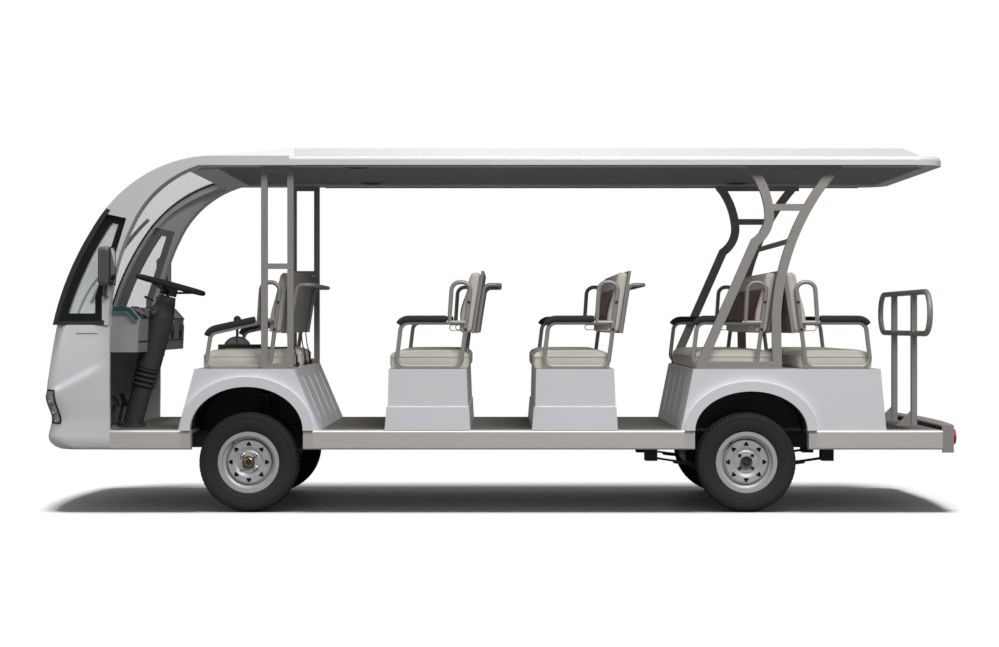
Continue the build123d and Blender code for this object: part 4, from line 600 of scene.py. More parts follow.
def metal_finish(name, colour, roughness, metallic, rub, dust=0.12):
    """Painted or bare metal with rubbed edges."""
    finish = Finish(name).base(colour, roughness, 0.10, 5.0).worn(rub, 0.16, 0.002).dusty(dust)
    return finish.grain(620, 0.00005, 0.2).set(Metallic=metallic, Coat_Weight=0.25, Coat_Roughness=0.18).done()


def plastic_finish(name, colour, roughness, grain, depth, dust=0.0):
    """Grained plastic whose edges have gone pale."""
    pale = tuple(min(1.0, 0.05 + 1.6 * c) for c in colour)
    finish = Finish(name).base(colour, roughness, 0.14, 6.0).worn(pale, 0.16, 0.002)
    if dust:
        finish.dusty(dust)
    return finish.set(Specular_IOR_Level=0.32).grain(grain, depth).done()


def cover_finish(name, colour, roughness, coat, sheen=0.12, gloss=0.5):
    """Sewn synthetic leather with pebbled grain and soft folds."""
    finish = Finish(name).base(colour, roughness, 0.10, 7.0).worn(tuple(0.82 * c for c in colour), 0.20, 0.006)
    folds = node(finish.tree, "TexNoise", Vector=finish.place, Scale=11.0, Detail=3.0, Distortion=0.6).outputs["Fac"]
    finish.relief(folds, 0.0022)
    finish.grain(520, 0.00022, 0.9)
    finish.set(Sheen_Weight=sheen, Sheen_Roughness=0.4, Specular_IOR_Level=gloss)
    return finish.set(Coat_Weight=coat, Coat_Roughness=0.2).done()


def glass_finish(name, tint, roughness):
    """Clear glass with a faint film of dust."""
    finish = Finish(name).base(tint, roughness, 0.03, 3.0)
    finish.set(Transmission_Weight=1.0, IOR=1.45, Coat_Weight=0.0)
    film = node(finish.tree, "TexNoise", Vector=finish.place, Scale=60.0, Detail=8.0).outputs["Fac"]
    finish.relief(film, 0.00002)
    return finish.done()


def floor_finish(name, colour):
    """Floor covering with rows of round studs, paler where feet rub it."""
    finish = Finish(name).base(colour, 0.55, 0.22, 3.0)
    studs = node(
        finish.tree, "TexVoronoi", {"feature": "F1", "voronoi_dimensions": "2D"},
        Vector=finish.place, Scale=42.0, Randomness=0.0,
    ).outputs["Distance"]
    raised = ramp(finish.tree, studs, 0.34, 0.24)
    trodden = node(finish.tree, "TexNoise", Vector=finish.place, Scale=3.4, Detail=5.0).outputs["Fac"]
    rubbed = math_node(finish.tree, "MULTIPLY", raised, ramp(finish.tree, trodden, 0.40, 0.70, 0.0, 0.55))
    finish.over(rubbed, tuple(min(1.0, 0.05 + 1.5 * c) for c in colour))
    finish.relief(raised, 0.0012)
    return finish.grain(700, 0.00008).dusty(0.25, 0.9).done()


def lining_finish(name, colour):
    """Moulded lining with a fine grain and pressed panel lines across the roof, with painted shade darkening each
    line.
    """
    finish = Finish(name).base(colour, 0.58, 0.12, 4.0)
    along = math_node(finish.tree, "MULTIPLY", finish.axis("X"), 1.0 / 0.62)
    saw = math_node(finish.tree, "FRACT", along)
    line = math_node(finish.tree, "ABSOLUTE", math_node(finish.tree, "SUBTRACT", saw, 0.5))
    groove = ramp(finish.tree, line, 0.0, 0.014)
    finish.relief(groove, 0.003)
    # painted shade: darkens the colour along the middle of each pressed groove
    finish.over(ramp(finish.tree, line, 0.012, 0.0, 0.0, 0.7), tuple(0.35 * c for c in colour))
    return finish.grain(480, 0.0001).done()


def rim_finish(name, colour):
    """Silver wheel paint; the brake drum behind the disc is dark iron."""
    finish = Finish(name).base(colour, 0.34, 0.08, 12.0).worn((0.30, 0.29, 0.28), 0.20, 0.002)
    behind = ramp(finish.tree, finish.size_of("Y"), WHEEL_Y + 0.0175, WHEEL_Y + 0.0155)
    inside = ramp(finish.tree, finish.from_axle(), 0.103, 0.100)
    drum = math_node(finish.tree, "MULTIPLY", behind, inside)
    finish.over(drum, (0.02, 0.019, 0.018))
    finish.link(math_node(finish.tree, "MULTIPLY_ADD", drum, -0.55, 0.55), "Metallic")
    brake_dust = node(finish.tree, "TexNoise", Vector=finish.place, Scale=48.0, Detail=9.0).outputs["Fac"]
    finish.over(ramp(finish.tree, brake_dust, 0.56, 0.80, 0.0, 0.35), (0.16, 0.14, 0.12))
    return finish.grain(800, 0.00004, 0.2).set(Coat_Weight=0.35, Coat_Roughness=0.12).done()


def tyre_finish(name, colour):
    """Black rubber, grey with dust on the tread."""
    finish = Finish(name).base(colour, 0.62, 0.25, 14.0)
    tread = ramp(finish.tree, finish.from_axle(), 0.262, 0.277)
    blown = node(finish.tree, "TexNoise", Vector=finish.place, Scale=30.0, Detail=9.0).outputs["Fac"]
    patches = ramp(finish.tree, blown, 0.3, 0.8, 0.05, 0.4)
    finish.over(math_node(finish.tree, "MULTIPLY", tread, patches), (0.030, 0.028, 0.027))
    return finish.set(Specular_IOR_Level=0.25).grain(900, 0.0001, 0.3).done()


def cap_finish(name, colour, surround):
    """Body paint, with the dark surround of the screen painted ahead of the quarter windows."""
    finish = Finish(name).base(colour, 0.26, 0.05, 1.6)
    x, z = finish.axis("X"), finish.axis("Z")
    tree = finish.tree
    rise = math_node(tree, "SUBTRACT", z, 1.063)
    bend = math_node(tree, "MULTIPLY", rise, math_node(tree, "MULTIPLY_ADD", rise, 0.3524, 0.2644))
    ahead = ramp(tree, math_node(tree, "ADD", x, bend), 2.4215, 2.4245)
    slope = math_node(tree, "SUBTRACT", z, math_node(tree, "MULTIPLY", x, 0.465))
    below = ramp(tree, slope, 0.681, 0.684, 1.0, 0.0)
    side = ramp(tree, finish.size_of("Y"), 0.680, 0.683)
    foot = math_node(tree, "MULTIPLY", ramp(tree, z, 1.066, 1.069, 1.0, 0.0), ramp(tree, x, 2.166, 2.169))
    shown = math_node(tree, "MAXIMUM", math_node(tree, "MULTIPLY", ahead, below), foot)
    finish.over(math_node(tree, "MULTIPLY", shown, side), surround)
    return finish.set(Coat_Weight=0.5, Coat_Roughness=0.06).grain(900, 0.00001).done()


def roof_finish(name, colour, crown):
    """Body paint, with painted shade greying the raised middle of the roof."""
    finish = Finish(name).base(colour, 0.30, 0.05, 1.6)
    # painted shade: the crown colour greys the raised middle of the roof above 1.966 m
    finish.over(ramp(finish.tree, finish.axis("Z"), 1.966, 1.972), crown)
    return finish.set(Coat_Weight=0.3, Coat_Roughness=0.08).grain(900, 0.00001).done()


def window_frame_finish(name, colour, inside):
    """Black outside and cab grey inside."""
    finish = Finish(name).base(colour, 0.35, 0.10, 4.0)
    inner = ramp(finish.tree, finish.size_of("Y"), 0.690, 0.693, 1.0, 0.0)
    return finish.over(inner, inside).grain(700, 0.00005).done()


def webbing_finish(name, colour):
    """Woven belt: fine ribs along the strap."""
    finish = Finish(name).base(colour, 0.7, 0.2, 30.0)
    weave = node(
        finish.tree, "TexWave", {"wave_type": "BANDS", "bands_direction": "Y"}, Vector=finish.place, Scale=160.0,
        Distortion=0.4,
    ).outputs["Fac"]
    return finish.relief(weave, 0.0006).grain(1500, 0.0001, 0.2).done()


def lens_finish(name, colour, roughness):
    """Moulded lamp lens with fine flutes under a hard gloss."""
    finish = Finish(name).base(colour, roughness, 0.10, 8.0)
    flutes = node(
        finish.tree, "TexWave", {"wave_type": "BANDS", "bands_direction": "Y"}, Vector=finish.place, Scale=55.0
    ).outputs["Fac"]
    finish.relief(flutes, 0.0006)
    return finish.set(Coat_Weight=1.0, Coat_Roughness=0.03, Specular_IOR_Level=0.6).done()


def make_finishes():
    """Builds one material for every slot of the record, and the finishes of the added trim."""
    paints = bpy.context.scene.car_paints
    body, black, rubber, frame_paint = paints.body[:], paints.black[:], paints.rubber[:], paints.frame[:]
    body_finish("body_white", body, 0.26, 0.10)
    body_finish("sill_cream", paints.sill[:], 0.42, 0.02)
    floor_finish("floor_grey", paints.floor[:])
    lining_finish("lining_grey", paints.lining[:])
    metal_finish("frame_grey", frame_paint, 0.42, 0.10, (0.42, 0.41, 0.40), 0.05)
    plastic_finish("frame_black", tuple(0.9 * c for c in black), 0.35, 700, 0.00005)
    plastic_finish("shell_grey", paints.shell[:], 0.46, 420, 0.00012)
    cover_finish("seat_cream", paints.cover[:], 0.42, 0.10)
    plastic_finish("pad_black", black, 0.50, 520, 0.00018)
    plastic_finish("dash_grey", (0.145, 0.145, 0.15), 0.52, 460, 0.00016)
    plastic_finish("column_black", black, 0.44, 560, 0.0001)
    plastic_finish("grip_black", black, 0.40, 620, 0.00012)
    glass_finish("clear_glass", (0.86, 0.90, 0.90), 0.02)
    lens_finish("lamp_lens", (0.055, 0.058, 0.065), 0.10)
    lens_finish("lamp_red", (0.42, 0.012, 0.010), 0.14)
    rim_finish("rim_silver", paints.rim[:])
    tyre_finish("tyre_black", rubber)
    metal_finish("underbody_black", (0.006, 0.006, 0.006), 0.55, 0.0, (0.03, 0.027, 0.025), 0.05)
    plastic_finish("battery_plastic", (0.03, 0.03, 0.033), 0.5, 420, 0.0001)
    cover_finish("seat_insert", paints.insert[:], 0.28, 0.05, 0.0, 0.22)
    metal_finish("bright_steel", (0.62, 0.62, 0.63), 0.22, 1.0, (0.75, 0.75, 0.75), 0.05)
    metal_finish("brass", (0.62, 0.42, 0.16), 0.30, 1.0, (0.75, 0.60, 0.30), 0.05)
    metal_finish("spring_steel", (0.06, 0.06, 0.062), 0.30, 0.7, (0.3, 0.3, 0.3), 0.05)
    window_frame_finish("window_frame", black, (0.30, 0.30, 0.31))
    metal_finish("mirror_shell", (0.115, 0.112, 0.108), 0.38, 0.1, (0.3, 0.3, 0.3), 0.05)
    cap_finish("cap_paint", body, (0.045, 0.047, 0.050))
    plastic_finish("cab_grey", (0.45, 0.45, 0.46), 0.50, 420, 0.0001)
    # the third colour is painted shade laid on the raised middle of the roof
    roof_finish("roof_paint", body, (0.58, 0.58, 0.60))
    plastic_finish("seal_rubber", rubber, 0.60, 640, 0.0001)
    webbing_finish("belt_webbing", (0.010, 0.010, 0.011))
    glass_finish("teal_glass", (0.10, 0.30, 0.30), 0.06)
    mirror = Finish("mirror_glass").base((0.85, 0.87, 0.88), 0.03, 0.02, 2.0)
    mirror.set(Metallic=1.0).grain(30, 0.000004).done()
    bulb = Finish("lamp_white").base((0.90, 0.90, 0.86), 0.35, 0.05, 20.0)
    bulb.set(Coat_Weight=0.6, Transmission_Weight=0.0).grain(300, 0.0001).done()


# CAD nodes whose finish is not their slot's own
OWN_FINISHES = {
    "front_cap": "cap_paint", "roof_panel": "roof_paint", "side_mirrors": "mirror_shell",
    "quarter_frames": "window_frame",
}


class DressFrame(bpy.types.Operator):
    """Give every CAD node the finish of its record slot"""

    bl_idname = "car.dress_frame"
    bl_label = "Dress the frame"

    def execute(self, context):
        make_finishes()
        for part in frame["record"]["subparts"]:
            target = frame["nodes"][part["node"]]
            target.data.materials.clear()
            finish = OWN_FINISHES.get(part["node"], part["material_slot"])
            target.data.materials.append(bpy.data.materials[finish])
            target.data.shade_smooth()
            target.data.set_sharp_from_angle(angle=math.radians(30))
        return {"FINISHED"}
def marked_steps(low, high, step, marks=()):
    """Divides a length into steps that meet every mark."""
    stops = sorted({low, high, *marks})
    places = []
    for start, end in zip(stops, stops[1:]):
        count = max(1, round((end - start) / step))
        places += [start + (end - start) * i / count for i in range(count)]
    return [*places, high]


def edge_marks(low, high, rounding):
    """Places that give a rounded edge enough points at both ends of a length."""
    shares = (0.35, 0.7, 1.0)
    return [low + rounding * s for s in shares] + [high - rounding * s for s in shares]


def sewn_block(xs, ys, zs, rounding, base_rounding, panel=None):
    """Builds a closed block with round edges; panel(y, z) tells which front faces take the second finish."""
    bm = bmesh.new()
    sizes = np.array([len(xs), len(ys), len(zs)]) - 1
    low = np.array([xs[0] + rounding, ys[0] + rounding, zs[0] + base_rounding])
    high = np.array([xs[-1], ys[-1], zs[-1]]) - rounding
    points = {}

    def point(index):
        if index not in points:
            place = np.array([xs[index[0]], ys[index[1]], zs[index[2]]])
            core = np.clip(place, low, high)
            radii = np.array([rounding, rounding, base_rounding if place[2] < core[2] else rounding])
            away = (place - core) / radii
            reach = np.linalg.norm(away)
            points[index] = bm.verts.new(core + away / max(reach, 1e-9) * radii if reach > 1e-9 else place)
        return points[index]

    for axis in range(3):
        first, second = [a for a in range(3) if a != axis]
        for level in (0, int(sizes[axis])):
            for i in range(sizes[first]):
                for j in range(sizes[second]):
                    corners = []
                    for di, dj in ((0, 0), (1, 0), (1, 1), (0, 1)):
                        index = [0, 0, 0]
                        index[axis], index[first], index[second] = level, i + di, j + dj
                        corners.append(point(tuple(index)))
                    face = bm.faces.new(corners)
                    if panel and axis == 0 and level:
                        middle = (ys[i] + ys[i + 1]) / 2, (zs[j] + zs[j + 1]) / 2
                        face.material_index = int(panel(*middle))
    bmesh.ops.recalc_face_normals(bm, faces=bm.faces)
    bm.verts.index_update()
    return bm, points


def lattice_ring(axis, level, counts):
    """Indices round a block at one level of an axis, in order."""
    first, second = [a for a in range(3) if a != axis]
    m, n = counts[first] - 1, counts[second] - 1
    walk = [(i, 0) for i in range(m)] + [(m, j) for j in range(n)]
    walk += [(i, n) for i in range(m, 0, -1)] + [(0, j) for j in range(n, 0, -1)]
    ring = []
    for i, j in walk:
        index = [0, 0, 0]
        index[axis], index[first], index[second] = level, i, j
        ring.append(tuple(index))
    return ring


def fill_cover(bm, held, pressure, swell):
    """Fills a closed cover with air in a cloth simulation; no point moves farther than the swell."""
    scene = bpy.context.scene
    mesh = bpy.data.meshes.new("seat_cover")
    bm.to_mesh(mesh)
    cover = bpy.data.objects.new("seat_cover", mesh)
    scene.collection.objects.link(cover)
    group = cover.vertex_groups.new(name="held")
    for vert, weight in held.items():
        group.add([vert.index], weight, "REPLACE")
    cloth = cover.modifiers.new("cover", "CLOTH")
    cloth.settings.quality = 6
    cloth.settings.mass = 0.25
    cloth.settings.tension_stiffness = 22
    cloth.settings.compression_stiffness = 22
    cloth.settings.bending_stiffness = 2.5
    cloth.settings.use_pressure = True
    cloth.settings.uniform_pressure_force = pressure
    cloth.settings.effector_weights.gravity = 0
    cloth.settings.vertex_group_mass = "held"
    cloth.collision_settings.use_collision = False
    for step in range(1, 21):
        scene.frame_set(step)
    filled = cover.evaluated_get(bpy.context.evaluated_depsgraph_get()).data
    for vert, there in zip(bm.verts, filled.vertices):
        move = there.co - vert.co
        vert.co += move * min(1.0, swell / max(move.length, 1e-9))
    cover.modifiers.remove(cloth)
    bpy.data.objects.remove(cover)
    bpy.data.meshes.remove(mesh)
    scene.frame_set(1)


class SewCushions(bpy.types.Operator):
    """Sew the seat cushions and fill them"""

    bl_idname = "car.sew_cushions"
    bl_label = "Sew the cushions"

    def execute(self, context):
        seats = context.scene.car_seats
        for name, spans, _, _, _, _ in BENCHES:
            node_name = f"seat_cushion_{name}"
            low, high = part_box(node_name)
            bm = bmesh.new()
            for low_y, high_y in spans:
                self.add_cushion(bm, seats, (low[0], low_y, low[2]), (high[0], high_y, high[2]))
            cushion = fit_piece(f"cushion_{name}", bm, "seat_cream", sharp_angle=60)
            cushion.modifiers.new("soft", "SUBSURF").levels = 1
            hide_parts(node_name)
        return {"FINISHED"}

    def add_cushion(self, bm, seats, low, high):
        """Adds one filled cushion with piping along its top seam."""
        inset, drop, rounding = seats.cushion_start, seats.crown, seats.cushion_edge
        top = high[2] - drop
        seam = top - rounding
        xs, ys = (
            marked_steps(start, end, seats.mesh_step, edge_marks(start, end, rounding))
            for start, end in ((low[i] + inset, high[i] - inset) for i in range(2))
        )
        base_rounding = 0.006
        top_marks = edge_marks(seam - 0.03, top, rounding)[3:]
        zs = marked_steps(low[2], top, seats.mesh_step, [low[2] + base_rounding, seam, *top_marks])
        cover, points = sewn_block(xs, ys, zs, rounding, base_rounding)
        seam_level = min(range(len(zs)), key=lambda k: abs(zs[k] - seam))
        ring = [points[index] for index in lattice_ring(2, seam_level, (len(xs), len(ys), len(zs)))]
        held = {points[index]: 1.0 for index in points if index[2] == 0}
        held.update({vert: 0.55 for vert in ring})
        fill_cover(cover, held, seats.pressure, seats.swell)
        middle = Vector(((low[0] + high[0]) / 2, (low[1] + high[1]) / 2, 0))
        for index, vert in points.items():
            if index[2] == len(zs) - 1:
                along, across = (2 * abs(vert.co[i] - middle[i]) / (high[i] - low[i]) for i in range(2))
                vert.co.z += seats.crown * max(0.0, 1 - along**3) * max(0.0, 1 - across**6) * 0.5
        line = [vert.co.copy() for vert in ring]
        for vert in ring:
            vert.co += (Vector((middle.x, middle.y, vert.co.z)) - vert.co).normalized() * 0.002
        add_tube(bm, line, seats.piping, 8, True)
        join_into(bm, cover)


class SewBackrests(bpy.types.Operator):
    """Sew the backrests with their glossy panels and fill them"""

    bl_idname = "car.sew_backrests"
    bl_label = "Sew the backrests"

    def execute(self, context):
        seats = context.scene.car_seats
        for name, spans, foot_x, facing, _, _ in BENCHES:
            node_name = f"seat_backrest_{name}"
            low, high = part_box(node_name)
            bm = bmesh.new()
            for low_y, high_y in self.back_spans(spans, high[1]):
                self.add_backrest(bm, seats, foot_x, facing, (low_y, high_y), (low[2], high[2]))
            mesh = finished_mesh(bm, f"backrest_{name}", 60)
            back = add_piece(
                f"backrest_{name}", mesh, "chassis", "seat_cream",
                bpy.data.materials["seat_cream"], bpy.data.materials["seat_insert"],
            )
            back.modifiers.new("soft", "SUBSURF").levels = 1
            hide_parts(node_name)
        return {"FINISHED"}

    def back_spans(self, spans, half_width):
        """Widths of the backrests: one across the bench, or two beside the gangway."""
        if len(spans) == 1:
            return [(-half_width, half_width)]
        return [(-half_width, spans[0][1]), (spans[1][0], half_width)]

    def add_backrest(self, bm, seats, foot_x, facing, width, height):
        """Adds one leaning backrest; its panel is sewn in across the front."""
        depth, rounding, groove = seats.back_depth, seats.back_edge, 0.006
        inset = 0.004
        low_y, high_y = width[0] + inset, width[1] - inset
        low_z, high_z = height[0] + inset, height[1] - 0.010
        panel_y = (low_y + seats.panel_margin, high_y - seats.panel_margin)
        panel_z = (low_z + (high_z - low_z) * 0.17, low_z + (high_z - low_z) * 0.73)
        xs = marked_steps(0, depth, seats.mesh_step, edge_marks(0, depth, rounding))
        ys = marked_steps(low_y, high_y, seats.mesh_step, [
            *edge_marks(low_y, high_y, rounding), *(y + d for y in panel_y for d in (-groove, 0, groove))
        ])
        zs = marked_steps(low_z, high_z, seats.mesh_step, [
            *edge_marks(low_z, high_z, rounding), *(z + d for z in panel_z for d in (-groove, 0, groove))
        ])
        cover, points = sewn_block(
            xs, ys, zs, rounding, rounding,
            lambda y, z: panel_y[0] < y < panel_y[1] and panel_z[0] < z < panel_z[1],
        )
        counts = (len(xs), len(ys), len(zs))
        edge_level = min(range(len(xs)), key=lambda i: abs(xs[i] - (depth - rounding)))
        ring = [points[index] for index in lattice_ring(0, edge_level, counts)]
        sewn = []
        for (i, j, k), vert in points.items():
            on_side = min(abs(ys[j] - y) for y in panel_y) < 1e-6 and panel_z[0] - 1e-6 <= zs[k] <= panel_z[1] + 1e-6
            on_level = min(abs(zs[k] - z) for z in panel_z) < 1e-6 and panel_y[0] - 1e-6 <= ys[j] <= panel_y[1] + 1e-6
            if i == counts[0] - 1 and (on_side or on_level):
                sewn.append(vert)
        held = {points[index]: 1.0 for index in points if index[0] == 0}
        held.update({vert: 0.6 for vert in ring})
        held.update({vert: 0.85 for vert in sewn})
        fill_cover(cover, held, seats.pressure, seats.swell)
        for vert in sewn:
            vert.co.x -= 0.0045
        line = [vert.co.copy() for vert in ring]
        add_tube(cover, line, seats.piping * 0.75, 8, True)
        for vert in cover.verts:
            share = (vert.co.z - height[0]) / (height[1] - height[0])
            taper = 1.0 - 0.24 * max(0.0, share - 0.35)
            bulge = 0.010 * math.exp(-(((share - 0.32) / 0.26) ** 2)) * min(1.0, vert.co.x / depth)
            along = seats.back_foot - seats.back_space + (vert.co.x + bulge) * taper - seats.back_lean * share
            vert.co.x = foot_x + facing * along
        join_into(bm, cover)


class FitArmrests(bpy.types.Operator):
    """Lay the black pads on the arm tubes"""

    bl_idname = "car.fit_armrests"
    bl_label = "Fit the armrest pads"

    def execute(self, context):
        bm = bmesh.new()
        for _, _, foot_x, facing, back_half, bar in BENCHES:
            line, sizes = self.pad_line(bar)
            for side in (1, -1):
                points = [(foot_x + facing * x, side * (back_half + 0.012), z) for x, z in line]
                outline = PAD_OUTLINE if facing * side > 0 else [(-u, v) for u, v in reversed(PAD_OUTLINE)]
                ups = [Vector((facing * n[0], 0, n[1])) for n in self.pad_normals(line)]
                add_section(bm, points, outline, 1, 1, up=ups, sizes=sizes)
        pads = fit_piece("arm_pads", bm, "pad_black", sharp_angle=40)
        pads.modifiers.new("soft", "SUBSURF").levels = 1
        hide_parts("armrest_pads")
        return {"FINISHED"}

    def pad_line(self, bar):
        """Middle line of a pad in the bench's frame, and how full its section is at each point."""
        rear, front = Vector((0.021, bar[0])), Vector((0.381, bar[1]))
        ahead = (front - rear).normalized()
        above = Vector((-ahead.y, ahead.x))
        leg = (Vector((0.410, 0.810)) - front).normalized()
        bend, lift = 0.047, 0.012 + 0.0003 + 0.013
        start = front - ahead * (bend * math.tan(ahead.angle(leg) / 2))
        first = rear + ahead * ((0.128 - 0.021) / ahead.x) + above * lift
        line = [first + (start + above * lift - first) * t for t in (0, 0.01, 0.03, 0.08, 0.3, 0.6, 0.85)]
        centre = start - above * bend
        for share in (0, 0.15, 0.3, 0.45, 0.6, 0.75, 0.88, 0.95, 0.985, 1.0):
            turn = math.radians(57) * share
            line.append(centre + (above * math.cos(turn) + ahead * math.sin(turn)) * (bend + lift))
        sizes = [0.72, 0.9, 1.0, 1.04, 1, 1, 1, 1, 1, 1, 1, 1, 0.98, 0.93, 0.86, 0.78, 0.62]
        return [tuple(p) for p in line], sizes

    def pad_normals(self, line):
        """Which way the top of the pad faces at each point."""
        found = []
        for i in range(len(line)):
            before, after = Vector(line[max(i - 1, 0)]), Vector(line[min(i + 1, len(line) - 1)])
            ahead = (after - before).normalized()
            found.append((-ahead.y, ahead.x))
        return found


class MouldTyres(bpy.types.Operator):
    """Mould the four tyres with tread blocks and sidewall rings"""

    bl_idname = "car.mould_tyres"
    bl_label = "Mould the tyres"

    def execute(self, context):
        tyres = context.scene.car_tyres
        profile = self.section(tyres)
        for name, x, side, _ in CORNERS:
            bm = bmesh.new()
            rings = []
            for pitch in range(tyres.pitches):
                for share, slotted in ((0.0, 0), (0.66, 0), (0.73, 1), (0.93, 1)):
                    turn = 2 * math.pi * (pitch + share) / tyres.pitches
                    ring = []
                    for across, radius, slot in profile:
                        reach = radius - slotted * slot * tyres.groove_depth
                        place = (x + reach * math.cos(turn), side * WHEEL_Y + across, AXLE_Z + reach * math.sin(turn))
                        ring.append(bm.verts.new(place))
                    rings.append(ring)
            bridge(bm, rings, closed_run=True)
            tyre = fit_piece(f"road_tyre_{name}", bm, "tyre_black", body=f"wheel_{name}", sharp_angle=35)
            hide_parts(f"tyre_{name}")
        return {"FINISHED"}

    def section(self, tyres):
        """Points round the tyre's section: across, radius, and how deep the cross slots cut there."""
        wall = smooth_run([
            (0.1725, 0.0637, 0), (0.184, 0.0702, 0), (0.1977, 0.0747, 0), (0.2237, 0.0775, 0), (0.240, 0.0768, 0),
            (0.255, 0.0742, 0), (0.266, 0.0690, 0),
        ], 3)
        radii, widths = [p.x for p in wall], [p.y for p in wall]
        rings = (0.1820, 0.2010, 0.2440, 0.2490)
        stops = sorted({*radii, *(ring + d for ring in rings for d in (-0.0022, -0.0010, 0.0010, 0.0022))})
        half = [(0.0557, 0.1533, 0), (0.0557, 0.1725, 0)]
        for radius in stops:
            raised = tyres.ring_height if min(abs(radius - ring) for ring in rings) < 0.0011 else 0
            half.append((float(np.interp(radius, radii, widths)) + raised, radius, 0))
        half += [(0.0645, 0.2708, 0.5), (0.059, 0.2740, 1)]
        width, depth = tyres.groove_width, tyres.groove_depth
        for across, sunk, slot in (
            (0.046, 0, 1), (0.043, 0, 0), (0.030 + width / 2, 0, 0), (0.030 + width / 2 - 0.0015, depth, 0),
            (0.030 - width / 2 + 0.0015, depth, 0), (0.030 - width / 2, 0, 0), (0.0135, 0, 0),
            (width / 2, 0, 0), (width / 2 - 0.0015, depth, 0),
        ):
            half.append((across, 0.277 - 0.0030 * (across / 0.059) ** 2 - sunk, slot))
        return half + [(-across, radius, slot) for across, radius, slot in reversed(half)]


# Where the tyre valve stands round the wheel, in radians
VALVE_TURN = 0.9


class FitWheelTrim(bpy.types.Operator):
    """Fit wheel nuts, hub caps and tyre valves"""

    bl_idname = "car.fit_wheel_trim"
    bl_label = "Fit the wheel trim"

    def execute(self, context):
        for name, x, side, driven in CORNERS:
            body, out = f"wheel_{name}", Vector((0, side, 0))
            face = Vector((x, side * (WHEEL_Y + 0.040), AXLE_Z))
            dark, bright, ring = bmesh.new(), bmesh.new(), bmesh.new()
            for turn in (math.radians(45 + 90 * i) for i in range(4)):
                seat = face + Vector((math.cos(turn), 0, math.sin(turn))) * 0.050
                if driven:
                    socket = ((0.0006, 0.0112), (0.0012, 0.0098), (-0.006, 0.0082), (-0.006, 0))
                    add_turned(dark, socket, seat, out, 20)
                    continue
                for profile, segments in (
                    (((0, 0.0145), (0.002, 0.0145), (0.0035, 0.0115)), 24),
                    (((0.001, 0.0105), (0.011, 0.0105), (0.0125, 0.0090)), 6),
                    (((0.0115, 0.0090), (0.016, 0.0072), (0.0185, 0.0040), (0.0190, 0)), 18),
                ):
                    add_turned(bright, profile, seat, out, segments)
            if driven:
                bore = ((0.0142, 0.0345), (0.0152, 0.0335), (0.0148, 0.0300), (0.003, 0.0284), (0.0025, 0.014),
                        (0.0075, 0.012), (0.0085, 0.006), (0.0085, 0))
                add_turned(dark, bore, face, out, 40)
            else:
                cap = ((0.0138, 0.0345), (0.0152, 0.0335), (0.0152, 0.0262), (0.0146, 0.0255))
                add_turned(dark, cap, face, out, 40)
                collar = ((0.0140, 0.0262), (0.0185, 0.0255), (0.0200, 0.0225), (0.0190, 0.0165), (0.0145, 0.0150))
                add_turned(ring, collar, face, out, 40)
                add_turned(dark, ((0.0150, 0.0155), (0.0148, 0.0100), (0.0165, 0.0080), (0.0165, 0)), face, out, 24)
            add_turned(dark, ((-0.013, 0.084), (-0.013, 0.128), (-0.016, 0.128), (-0.016, 0.084)), face, out, 48)
            spoke = Vector((math.cos(VALVE_TURN), 0, math.sin(VALVE_TURN)))
            valve = face + spoke * 0.136 + out * 0.002
            tip = valve - spoke * 0.010 + out * 0.024
            stem = (tip - valve).normalized()
            add_turned(dark, ((-0.004, 0.0052), (0.004, 0.0048), (0.012, 0.0032), (0.018, 0.0030)), valve, stem, 14)
            add_turned(ring, ((0.016, 0.0036), (0.025, 0.0036), (0.0265, 0.0028), (0.0265, 0)), valve, stem, 14)
            for label, bm, record_slot, slot in (
                ("hub_dark", dark, "column_black", "column_black"), ("hub_ring", ring, "rim_silver", "brass"),
                ("wheel_nuts", bright, "rim_silver", "bright_steel"),
            ):
                if not bm.verts:
                    bm.free()
                    continue
                fit_piece(f"{label}_{name}", bm, record_slot, slot, body=body)
        return {"FINISHED"}


def tangent_run(start, ahead, end, steps):
    """Points (x, z) of the arc that leaves start in a direction and ends at a point, and its last direction."""
    start, ahead, end = Vector(start), Vector(ahead).normalized(), Vector(end)
    left = Vector((-ahead.y, ahead.x))
    chord = end - start
    radius = chord.length_squared / (2 * chord.dot(left))
    sweep = 2 * math.atan2(chord.dot(left), chord.dot(ahead))
    points = []
    for i in range(1, steps + 1):
        turn = sweep * i / steps
        points.append(tuple(start + ahead * (radius * math.sin(turn)) + left * (radius * (1 - math.cos(turn)))))
    return points, ahead * math.cos(sweep) + left * math.sin(sweep)


def screen_outline():
    """Points (x, z) up the cab's front from the nose into the roof."""
    line = arc_run((2.458, 1.041), (2.361, 1.340), (2.212, 1.611), 14)
    ahead = Vector(line[-1]) - Vector(line[-2])
    upper, ahead = tangent_run(line[-1], ahead, (2.041, 1.796), 8)
    top, _ = tangent_run(upper[-1], ahead, (1.600, 1.968), 14)
    return line + upper + top


def outward(line):
    """Unit directions (x, z) that point out of the cab along its front outline."""
    found = []
    for i in range(len(line)):
        before, after = Vector(line[max(i - 1, 0)]), Vector(line[min(i + 1, len(line) - 1)])
        ahead = (after - before).normalized()
        found.append(Vector((ahead.y, -ahead.x)))
    return found


# Outline of seals, strips and ribs, of unit half width and height
STRIP = ((-1, -1), (-1, 0.4), (-0.7, 1), (0.7, 1), (1, 0.4), (1, -1))


